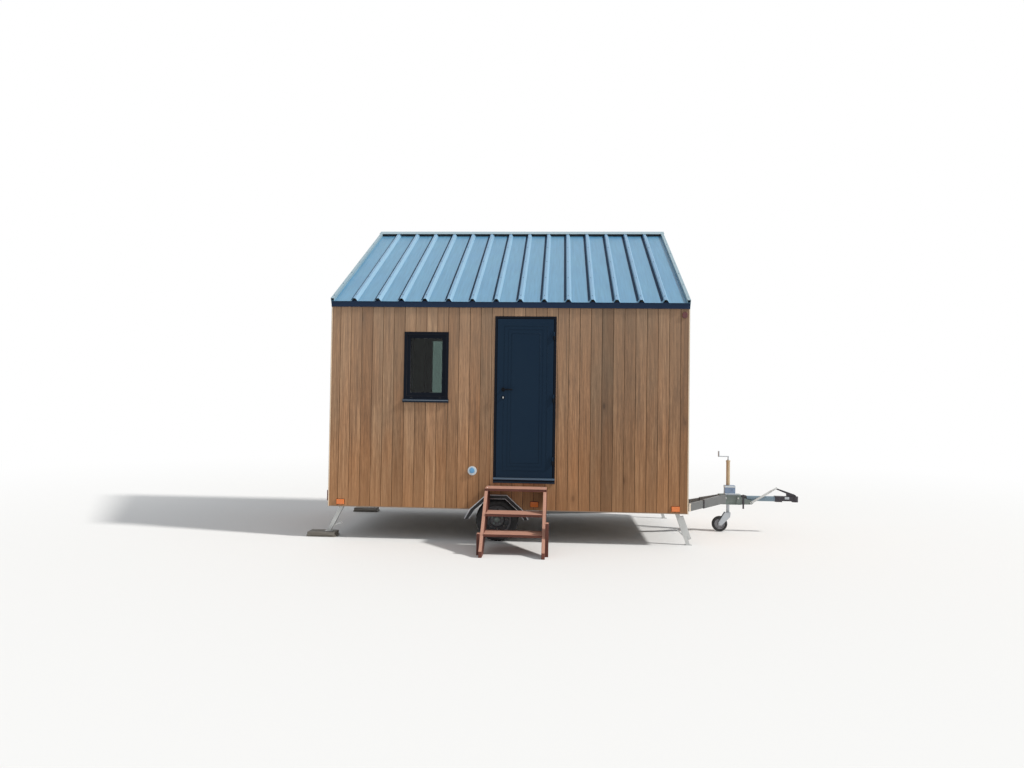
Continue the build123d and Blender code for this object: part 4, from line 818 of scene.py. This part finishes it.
def dress(names, material, bevel=0.0, segments=2):
    """A better material and softened edges for nodes whose shape is right."""
    for name in names:
        node = NODES[name]
        node.data.materials.clear()
        node.data.materials.append(material)
        if bevel:
            soften(node, bevel, segments, weld=True)


def dressed_nodes():
    """Every node that keeps its own shape."""
    walls = [f"front_wall_{part}" for part in ("left", "right", "over_door")]
    feet = [f"steady_foot_{end}_{side}" for end in ("rear", "hitch") for side in ("front", "back")]
    dress(["roof_sheet"], ROOF_SKY_PAINTED_METAL)
    dress(["rake_trims", "high_flashing"], TRIM_METAL, 0.0008)
    dress(["eave_fascia"], FASCIA_METAL, 0.002)
    dress(["door_frame", "window_frames"], FRAME_PAINT, 0.0015)
    dress(["door_leaf"], LEAF_PAINT, 0.0012)
    dress(["door_hinges"], HANDLE_METAL, 0.0008)
    dress(["door_lever"], HANDLE_METAL, 0.002, 3)
    dress(["sills"], SILL_METAL, 0.0012)
    dress(["window_glass"], GLASS)
    dress(["side_markers"], AMBER)
    dress(["red_lamps"], RED)
    dress(["water_inlet"], WHITE_PLASTIC, 0.002, 3)
    dress(["step_sides"], SIDE_WOOD, 0.003, 3)
    dress(["step_treads"], TREAD_WOOD, 0.003, 3)
    dress(["support_pads"], PAD_WOOD, 0.004, 3)
    dress(["chassis_rails", "crossmembers", "axle"], CHASSIS_ZINC, 0.002)
    dress(["a_frame"], FRAME_ZINC, 0.002)
    dress(["coupling_head"], COUPLING_ZINC, 0.002)
    dress(["overrun_housing"], CAST_ZINC, 0.003, 3)
    dress(["jockey_clamp"], CLAMP_ZINC, 0.003, 3)
    dress(["jockey_tube"], TUBE_ZINC, 0.001)
    dress(["jockey_stem", "jockey_fork", "jockey_crank"], ZINC, 0.001)
    dress(["handbrake_lever"], BRIGHT_ZINC, 0.001)
    dress(["steady_brackets", "steady_legs"], BRIGHT_ZINC, 0.0015)
    dress(feet, BRIGHT_ZINC, 0.0012)
    dress(["front_rim", "back_rim"], WHEEL_PAINT, 0.001)
    dress(["mudguards"], BLACK_PLASTIC, 0.0015)
    dress(["drawbar_gaiter"], GASKET)
    dress(["floor_deck"], FLOOR_BOARDS)
    dress(walls + ["back_wall", "rear_end_wall", "hitch_end_wall", "roof_deck"], WALL_LINING)


# Trim of the walls and the roof

def corner_beads():
    """Pale folded angles over the four corners of the boards."""
    pairs = []
    foot, outwards = SKIRT_Z - STRIP_HEIGHT, 0.002
    heads = (WALL_TOP_Z - 0.002, roof_line(WIDTH) - 0.004)
    for x, forward in ((0.0, 1), (LENGTH, -1)):
        for (y, inward), head in zip(LONG_SIDES, heads):
            corner = (x - forward * outwards, y - inward * outwards, foot)
            for reach, depth in ((0.011, 0.0005), (0.0005, 0.011)):
                pairs.append((corner, (x + forward * reach, y + inward * depth, head)))
    box_piece("corner_beads", pairs, BEAD_METAL, 0.0006)


def up_the_roof(u, v, depth):
    """Place on the roof: u along X, v off the deck, depth up the slope."""
    return on_roof(u, depth, v)


def painted_shadow_lap_seals():
    """Dark strips over the left flank of each rib and the pan beside it, from the eave to the flashing:
    painted shadow of the ribs, shaped as side-lap seals.
    """
    mesh = bmesh.new()
    for rib in range(1, RIBS + 1):
        x = rib * RIB_PITCH
        section = [
            (x - 0.0535, 0.0005), (x - 0.04, 0.0005), (x - 0.025, 0.024),
            (x - 0.0275, 0.024), (x - 0.0425, 0.003), (x - 0.0535, 0.0022),
        ]
        add_prism(mesh, section, 0.01, ROOF_RUN - 0.02, up_the_roof)
    new_piece("painted_shadow_lap_seals", mesh, RIB_SHADOW_PAINT)


def roof_screws():
    """Screws with sealing washers along the ribs and the rakes."""
    mesh = bmesh.new()
    for rib in range(1, RIBS + 1):
        for step in range(5):
            place = on_roof(rib * RIB_PITCH, 0.09 + step * 0.665, RIB_HEIGHT)
            add_bolt(mesh, place, ROOF_NORMAL, radius=0.0048, height=0.005)
    for step in range(7):
        along = 0.06 + step * (ROOF_RUN - 0.22) / 6
        for x in (0.018, LENGTH - 0.018):
            add_bolt(mesh, on_roof(x, along, RIB_HEIGHT), ROOF_NORMAL, radius=0.005, height=0.005)
    new_piece("roof_screws", mesh, SCREW_PAINT)


def rib_closers():
    """Dark foam fillers between the ribs, under the flashing."""
    mesh = bmesh.new()
    for bay in range(RIBS + 1):
        a = bay * RIB_PITCH + (0.036 if bay else 0.04)
        b = (bay + 1) * RIB_PITCH - (0.036 if bay < RIBS else 0.04)
        section = [(a, 0.003), (b, 0.003), (b - 0.018, 0.038), (a + 0.018, 0.038)]
        add_prism(mesh, section, ROOF_RUN - 0.045, ROOF_RUN - 0.01, up_the_roof)
    new_piece("rib_closers", mesh, GASKET, bevel=0.001)


# Door and windows

LEAF_THICKNESS = 0.048
LEVER_PIVOT = 0.009
LOCK_DROP = 0.096
SASH_JOINT_INSET = 0.0355
JAMB_LINER_SIDES = (0.089, 0.114)
JAMB_LINER_HEAD = 0.072


def door_lock():
    """The handle's and the lock's rosettes, the lock's cylinder and its keyway."""
    x = house_box("door_lever")[0].x + LEVER_PIVOT
    z = middle_of("door_lever").z
    face = house_box("door_leaf")[1].y - LEAF_THICKNESS
    lock_z = z - LOCK_DROP
    keyway = (x - 0.0008, face - 0.0127, lock_z - 0.002), (x + 0.0008, face - 0.0118, lock_z + 0.009)
    plate, lock = bmesh.new(), bmesh.new()
    add_peg(plate, (x, face - 0.004, z), radius=0.025, depth=0.008, taper=0.92, segments=40)
    add_peg(plate, (x, face - 0.0035, lock_z), radius=0.021, depth=0.007, taper=0.92, segments=40)
    add_peg(lock, (x, face - 0.006, lock_z + 0.003), radius=0.0085, depth=0.012, taper=0.92, segments=28)
    add_box(lock, (x - 0.005, face - 0.0118, lock_z - 0.013), (x + 0.005, face - 0.001, lock_z + 0.002))
    new_piece("handle_rosettes", plate, HANDLE_METAL, body="door", bevel=0.001)
    new_piece("lock_cylinder", lock, BRIGHT_METAL, body="door", bevel=0.0008)
    box_piece("keyway", [keyway], GASKET, 0.0002, body="door")


def threshold_strip():
    """The bright cover strip on the door's threshold, folded down over its front."""
    low, high = DOOR_LOW.x + 0.001, DOOR_HIGH.x - 0.001
    top = DOOR_LOW.z + 0.045
    front = (low, -0.0095, top - 0.022), (high, -0.0055, top + 0.001)
    cover = (low + 0.028, -0.0095, top - 0.0005), (high - 0.028, 0.036, top + 0.0012)
    box_piece("threshold_strip", [front, cover], THRESHOLD_METAL, 0.0006)


def panel_ribs():
    """Two fine raised frames on the door's leaf."""
    low, high = house_box("door_leaf")
    for number, edge in enumerate((0.086, 0.176)):
        points = round_opening(inset((low.x, high.x, low.z, high.z), edge), -0.0058)
        tube(f"panel_rib_{number}", points, 0.0028, LEAF_PAINT, body="door", closed=True)


def add_ring(mesh, frame_opening, side, cross, ys):
    """A four-sided frame of slats inside an X and Z opening."""
    x0, x1, z0, z1 = frame_opening
    near, far = ys
    add_box(mesh, (x0, near, z0), (x0 + side, far, z1))
    add_box(mesh, (x1 - side, near, z0), (x1, far, z1))
    add_box(mesh, (x0 + side, near, z0), (x1 - side, far, z0 + cross))
    add_box(mesh, (x0 + side, near, z1 - cross), (x1 - side, far, z1))


def window_parts():
    """Glazing gaskets, sash joints, drain slots, inner jamb liners and a pale strip on each sill's top edge
    that is a painted highlight.
    """
    sill_highlight, slots, liners = bmesh.new(), bmesh.new(), bmesh.new()
    for number, (outer, (base, inward)) in enumerate(zip((FRONT_WINDOW, BACK_WINDOW), LONG_SIDES)):
        x0, x1, foot, head = outer
        pane = opening_of("window_glass", lambda y: (y < WIDTH / 2) == (number == 0))
        for part, line, depth, radius in (
            ("outer_seal", pane, 0.0185, 0.0034),
            ("inner_seal", pane, 0.0435, 0.0034),
            ("sash_joint", inset(outer, SASH_JOINT_INSET), 0.0062, 0.002),
        ):
            points = round_opening(line, base + inward * depth)
            tube(f"{part}_{number}", points, radius, GASKET, closed=True)
        # A pale strip along the sill's front top edge: a painted highlight.
        near, far = base - inward * 0.0312, base - inward * 0.0295
        add_box(sill_highlight, (x0 - 0.008, near, foot - 0.0205), (x1 + 0.008, far, foot - 0.0135))
        near, far = base - inward * 0.007, base - inward * 0.0055
        for share in (0.18, 0.82):
            middle = x0 + (x1 - x0) * share
            add_box(slots, (middle - 0.015, near, foot + 0.01), (middle + 0.015, far, foot + 0.015))
        depths = (base + inward * 0.0645, base + inward * 0.137)
        add_ring(liners, inset(outer, 0.001), JAMB_LINER_SIDES[number], JAMB_LINER_HEAD, depths)
    new_piece("sill_highlight_strips", sill_highlight, SILL_HIGHLIGHT_METAL, bevel=0.0005)
    new_piece("drain_slots", slots, GASKET, bevel=0.0004)
    new_piece("jamb_liners", liners, FRAME_PAINT, bevel=0.0015)


# Fittings

MARKERS = ((0.155, 0.455), (2.551, 0.473), (LENGTH - 0.151, 0.455))
# Top and front edge of each tread, from the platform down.
TREADS = ((0.69, 0.3), (0.433, 0.575), (0.235, 0.775))


def inlet_flap():
    """The water inlet's round blue flap with its hinge."""
    low, middle = house_box("water_inlet")[0], middle_of("water_inlet")
    x, y, z = middle.x, low.y, middle.z + 0.004
    side = [(0.0, 0.0), (0.0335, 0.0), (0.0335, -0.0012), (0.031, -0.0028), (0.02, -0.004), (0.0, -0.0044)]
    flap = spun_cap(side, at(x, y, z))
    add_box(flap, (x - 0.011, y - 0.0035, z + 0.029), (x + 0.011, y + 0.001, z + 0.036))
    new_piece("inlet_flap", flap, BLUE_PLASTIC, smooth=True)


def marker_plates():
    """The black base plates of the side markers."""
    pairs = [
        ((x - 0.0525, y - inward * 0.0032, z - 0.0345), (x + 0.0525, y, z + 0.0345))
        for y, inward in LONG_SIDES
        for x, z in MARKERS
    ]
    box_piece("marker_plates", pairs, HANDLE_METAL, 0.001)


def step_screws():
    """Two screws at each end of each tread."""
    mesh = bmesh.new()
    for top, front in TREADS:
        for x in (2.000, 2.674):
            for back in (0.05, 0.235):
                add_bolt(mesh, at(x, back - front, top), (0, 0, 1), radius=0.004, height=0.0022)
    new_piece("step_screws", mesh, BRIGHT_METAL)


def pivot_nuts():
    """Nuts on both ends of the steadies' pivots."""
    mesh = bmesh.new()
    for x in (0.182, LENGTH - 0.142):
        for base, inward in LONG_SIDES:
            for y, turn in ((0.139, -inward), (0.211, inward)):
                add_bolt(mesh, at(x, base + inward * y, 0.485), (0, turn, 0), radius=0.0085, height=0.007)
    new_piece("pivot_nuts", mesh, BRIGHT_METAL)


def guard_beads():
    """The rolled edges of the mudguards' lips, pale as a painted glint on the black plastic."""
    for side, (base, inward) in zip(("front", "back"), LONG_SIDES):
        for name, radius, half in (
            ("outer", 0.006, [(0.388, 0.284), (0.321, 0.4), (0.1255, 0.578)]),
            ("inner", 0.0036, [(0.335, 0.284), (0.264, 0.392), (0.106, 0.532)]),
        ):
            line = [(-u, v) for u, v in half] + half[::-1]
            points = [(AXLE_X + u, base - inward * 0.0098, v) for u, v in line]
            tube(f"guard_bead_{side}_{name}", points, radius, GUARD_GLINT)


# Wheels

WHEEL_BOLTS = 5
BOLT_CIRCLE = 0.064
VALVE_REACH = 0.108
TYRE_BEAD = 0.1656
TREAD_SEGMENTS = 132
SIPE_EVERY = 4
SIPE_DEPTH = 0.006


def wheel_parts():
    """Wheel bolts, hub caps and valves."""
    for side, (_, inward) in zip(("front", "back"), LONG_SIDES):
        centre, outward, body = middle_of(f"{side}_rim"), -inward, f"{side}_wheel"
        bolts, valve = bmesh.new(), bmesh.new()
        for index in range(WHEEL_BOLTS):
            angle = 2 * pi * index / WHEEL_BOLTS + 0.3
            reach = Vector((BOLT_CIRCLE * cos(angle), outward * 0.0438, BOLT_CIRCLE * sin(angle)))
            add_bolt(bolts, at(*(centre + reach)), (0, outward, 0), radius=0.0088, height=0.016)
        new_piece(f"{side}_wheel_bolts", bolts, CAST_ZINC, body=body)
        profile = [(0.037, 0.0), (0.037, 0.006), (0.034, 0.014), (0.026, 0.02), (0.014, 0.023)]
        cap = spun_cap([(0.0, 0.0)] + profile + [(0.0, 0.024)], Vector((0, 0, 0)))
        bmesh.ops.transform(cap, matrix=Matrix.Diagonal((1, outward, 1, 1)), verts=cap.verts)
        bmesh.ops.translate(cap, vec=at(centre.x, centre.y + outward * 0.0575, centre.z), verts=cap.verts)
        new_piece(f"{side}_hub_cap", cap, CAST_ZINC, body=body, smooth=True)
        for radius, start, length in ((0.0055, 0.058, 0.03), (0.0042, 0.086, 0.012)):
            y = centre.y + outward * (start + length / 2)
            middle = (centre.x - VALVE_REACH, y, centre.z - VALVE_REACH)
            add_peg(valve, middle, radius, length, taper=0.85, segments=18)
        new_piece(f"{side}_valve", valve, GASKET, body=body, bevel=0.0006)


def roller_size(node):
    """A wheel's middle in the shared frame, its radius and half of its width."""
    low, high = house_box(node)
    return at(*middle_of(node)), (high.z - low.z) / 2, (high.y - low.y) / 2


def tyres():
    """Road tyres with tread blocks, sipes, sidewall rings and a rounded shoulder."""
    for side in ("front", "back"):
        middle, radius, half = roller_size(f"{side}_tyre")
        sidewall = [
            (TYRE_BEAD, half - 0.022), (TYRE_BEAD + 0.01, half - 0.012), (TYRE_BEAD + 0.022, half - 0.006),
            (TYRE_BEAD + 0.026, half - 0.0045), (TYRE_BEAD + 0.03, half - 0.0055),
            (TYRE_BEAD + 0.044, half - 0.001), (TYRE_BEAD + 0.052, half), (TYRE_BEAD + 0.058, half - 0.0006),
        ]
        shoulder = [
            (radius - 0.026, half - 0.004), (radius - 0.022, half - 0.008), (radius - 0.01, half - 0.015),
            (radius - 0.0045, half - 0.024), (radius - 0.001, half - 0.036),
        ]
        grooves = [
            (radius - 0.0005, 0.041), (radius - 0.008, 0.04), (radius - 0.008, 0.032),
            (radius - 0.0002, 0.031), (radius, 0.005), (radius - 0.008, 0.004),
        ]
        profile = mirrored_profile(sidewall + shoulder + grooves)
        tread = {i for i, (r, w) in enumerate(profile) if r > radius - 0.012 and abs(w) < half - 0.01}

        def sipes(segment, index):
            """Cuts across the tread."""
            return -SIPE_DEPTH if index in tread and segment % SIPE_EVERY == 0 else 0.0

        mesh = spun(profile, TREAD_SEGMENTS, middle, sipes)
        piece = new_piece(f"{side}_road_tyre", mesh, TYRE_RUBBER, body=f"{side}_wheel", smooth=True)
        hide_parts(f"{side}_tyre")


def jockey_roller():
    """The jockey wheel: a solid tyre on a dished grey rim."""
    middle, outer, half = roller_size("jockey_wheel")
    side = [
        (0.0712, half - 0.01), (0.0735, half - 0.004), (0.08, half - 0.001), (0.088, half),
        (outer - 0.008, half - 0.004), (outer - 0.0025, half - 0.011), (outer - 0.0003, half - 0.02),
        (outer, 0.003),
    ]
    tyre = spun(mirrored_profile(side), 96, middle)
    piece = new_piece("jockey_tyre", tyre, TYRE_RUBBER, body="jockey_roller", smooth=True)
    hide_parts("jockey_wheel")
    dish = [
        (0.0135, half - 0.001), (0.024, half - 0.001), (0.027, half - 0.006), (0.03, half - 0.018),
        (0.058, half - 0.019), (0.064, half - 0.01), (0.07, half - 0.009), (0.0711, half - 0.011),
    ]
    rim = spun(mirrored_profile(dish), 72, middle)
    new_piece("jockey_rim", rim, JOCKEY_RIM_PAINT, body="jockey_roller", smooth=True)


# Hitch

HOUSING_SIDE = 1.202
HOUSING_BACK_X = 5.085
HOUSING_STEP_X = 5.304
BEAM_KNEE = (4.607, 1.04)
BEAM_LEAN = 0.283


def housing_bolts():
    """Two bolts through each side plate of the overrun housing."""
    mesh = bmesh.new()
    for x in (5.098, 5.265):
        for base, inward in LONG_SIDES:
            place = at(x, base + inward * HOUSING_SIDE, 0.458)
            add_bolt(mesh, place, (0, -inward, 0), radius=0.012, height=0.014)
    new_piece("housing_bolts", mesh, BRIGHT_ZINC)


def housing_lips():
    """The turned-out upper edges of the housing's side plates."""
    pairs = []
    for base, inward in LONG_SIDES:
        outer, inner = (base + inward * (HOUSING_SIDE + step) for step in (-0.018, 0.002))
        pairs.append(((HOUSING_BACK_X, outer, 0.5015), (HOUSING_STEP_X, inner, 0.508)))
    box_piece("housing_lips", pairs, ZINC, 0.0015)


def clamp_bands():
    """The pale rims at the top and the foot of the jockey wheel's clamp."""
    low, high = house_box("jockey_clamp")
    pairs = [
        ((low.x - 0.004, 1.2025, z), (high.x + 0.004, 1.2975, z + tall))
        for z, tall in ((high.z - 0.027, 0.024), (low.z + 0.003, 0.01))
    ]
    box_piece("clamp_bands", pairs, BAND_ZINC, 0.002)


def beam_straps():
    """Dark straps over the A-frame's beams, and one that hangs on the housing's near side."""
    mesh = bmesh.new()
    outer, inner = (4.782, 1.149), (4.7985, 1.0865)
    ring = [(*outer, 0.3255), (*inner, 0.3255), (*inner, 0.4425), (*outer, 0.4425)]
    for base, inward in LONG_SIDES:
        near = [at(x, base + inward * y, z) for x, y, z in ring]
        far = [at(x - 0.0114, base + inward * (y - 0.003), z - 0.0024) for x, y, z in ring]
        add_loft(mesh, near, far)
    add_box(mesh, (5.322, 1.1875, 0.3745), (5.346, 1.1945, 0.5095))
    add_box(mesh, (5.324, 1.1885, 0.318), (5.344, 1.202, 0.376))
    new_piece("beam_straps", mesh, DARK_CAST, bevel=0.001)


def knee_plates():
    """Pale plates where the beams bend, flat on their leaning outer faces."""
    mesh = bmesh.new()
    outline = [(4.584, 0.286), (4.609, 0.288), (4.609, 0.3945), (4.584, 0.3925)]
    for base, inward in LONG_SIDES:

        def on_beam(x, z, out):
            """A place off a beam's outer face."""
            return at(x, base + inward * (BEAM_KNEE[1] - (BEAM_KNEE[0] - x) * BEAM_LEAN - out), z)

        add_prism(mesh, outline, -0.001, 0.004, on_beam)
    new_piece("knee_plates", mesh, PLATE_ZINC, bevel=0.001)


def head_plate():
    """The small bright plate on the coupling head's near side."""
    plate = (5.885, 1.2055, 0.456), (5.945, 1.2085, 0.488)
    box_piece("head_plate", [plate], ZINC, 0.001)


boarded_walls()
skirt_strips()
dressed_nodes()
corner_beads()
painted_shadow_lap_seals()
roof_screws()
rib_closers()
door_lock()
threshold_strip()
panel_ribs()
window_parts()
inlet_flap()
marker_plates()
step_screws()
pivot_nuts()
guard_beads()
wheel_parts()
tyres()
jockey_roller()
housing_bolts()
housing_lips()
clamp_bands()
beam_straps()
knee_plates()
head_plate()


# Stage, light and camera

CAMERA_PLACE = (2.842, -9.22, 1.71)
CAMERA_YAW = radians(3.62)
CAMERA_PITCH = radians(1.39)
CAMERA_ROLL = radians(0.83)
LENS = 26.57
FLOOR_RADIUS = 90.0
FADE_START = 4.5
FADE_END = 16.0
SUN_DIRECTION = (0.735, -0.16, 0.66)


def camera():
    """The photograph's camera, solved from the house's straight edges."""
    forward = Vector((-sin(CAMERA_YAW), cos(CAMERA_YAW), 0)) * cos(CAMERA_PITCH)
    forward.z = sin(CAMERA_PITCH)
    right = Vector((cos(CAMERA_YAW), sin(CAMERA_YAW), 0))
    up = right.cross(forward)
    turned_right = right * cos(CAMERA_ROLL) + up * sin(CAMERA_ROLL)
    turned_up = up * cos(CAMERA_ROLL) - right * sin(CAMERA_ROLL)
    data = bpy.data.cameras.new("photo_camera")
    data.sensor_width = 36.0
    data.lens = LENS
    data.clip_end = 500.0
    seen = linked("photo_camera", data)
    axes = Matrix((turned_right, turned_up, -forward)).transposed()
    seen.matrix_world = Matrix.Translation(at(*CAMERA_PLACE)) @ axes.to_4x4()
    bpy.context.scene.camera = seen


def for_looks(tree):
    """One wherever the camera, a reflection or a pane looks, and zero for the light itself."""
    path = put(tree, "LightPath").outputs
    look = maths(tree, "MAXIMUM", path["Is Camera Ray"], path["Is Glossy Ray"])
    return maths(tree, "MAXIMUM", look, path["Is Transmission Ray"])


def blended(tree, factor, first, second):
    """Two shaders mixed."""
    node = put(tree, "MixShader", Fac=factor, _1=first.outputs[0], _2=second.outputs[0])
    return node.outputs[0]


def world():
    """An even pale studio sky, white to the camera."""
    sky = bpy.data.worlds.new("studio")
    sky.use_nodes = True
    tree = sky.node_tree
    tree.nodes.clear()
    soft = put(tree, "Background", Color=(0.93, 0.96, 1.0, 1), Strength=0.56)
    white = put(tree, "Background", Color=(1, 1, 1, 1), Strength=1.0)
    put(tree, "OutputWorld", Surface=blended(tree, for_looks(tree), soft, white))
    bpy.context.scene.world = sky


def studio_floor():
    """A wide pale floor that fades into the white background."""
    material, tree, shader, place = shader_tree("studio_floor")
    fill(tree, shader, Base_Color=(0.8, 0.8, 0.79, 1), Roughness=0.9, Specular_IOR_Level=0.1)
    reach = operate(tree, "VectorMath", "LENGTH", place)["Value"]
    fade = put(tree, "MapRange", Value=reach, From_Min=FADE_START, From_Max=FADE_END)
    fade.interpolation_type = "SMOOTHSTEP"
    seen = maths(tree, "MULTIPLY", fade.outputs[0], for_looks(tree))
    glow = put(tree, "Emission", Color=(1, 1, 1, 1), Strength=1.0)
    fill(tree, tree.nodes["Material Output"], Surface=blended(tree, seen, shader, glow))
    mesh = bmesh.new()
    bmesh.ops.create_circle(mesh, cap_ends=True, segments=96, radius=FLOOR_RADIUS)
    data = bpy.data.meshes.new("studio_floor")
    mesh.to_mesh(data)
    mesh.free()
    data.materials.append(material)
    ground = linked("studio_floor", data)
    ground.location = (0, 0, CAD_BOX[0].z - 0.0005)


def lamp():
    """One soft key from the hitch side, as the sun stands in the photograph."""
    data = bpy.data.lights.new("key", "SUN")
    data.energy = 3.15
    data.angle = radians(5)
    data.color = (1.0, 0.975, 0.94)
    key = linked("key", data)
    key.rotation_euler = Vector(SUN_DIRECTION).to_track_quat("Z", "Y").to_euler()


camera()
world()
studio_floor()
lamp()
bpy.context.scene.view_settings.view_transform = "Standard"
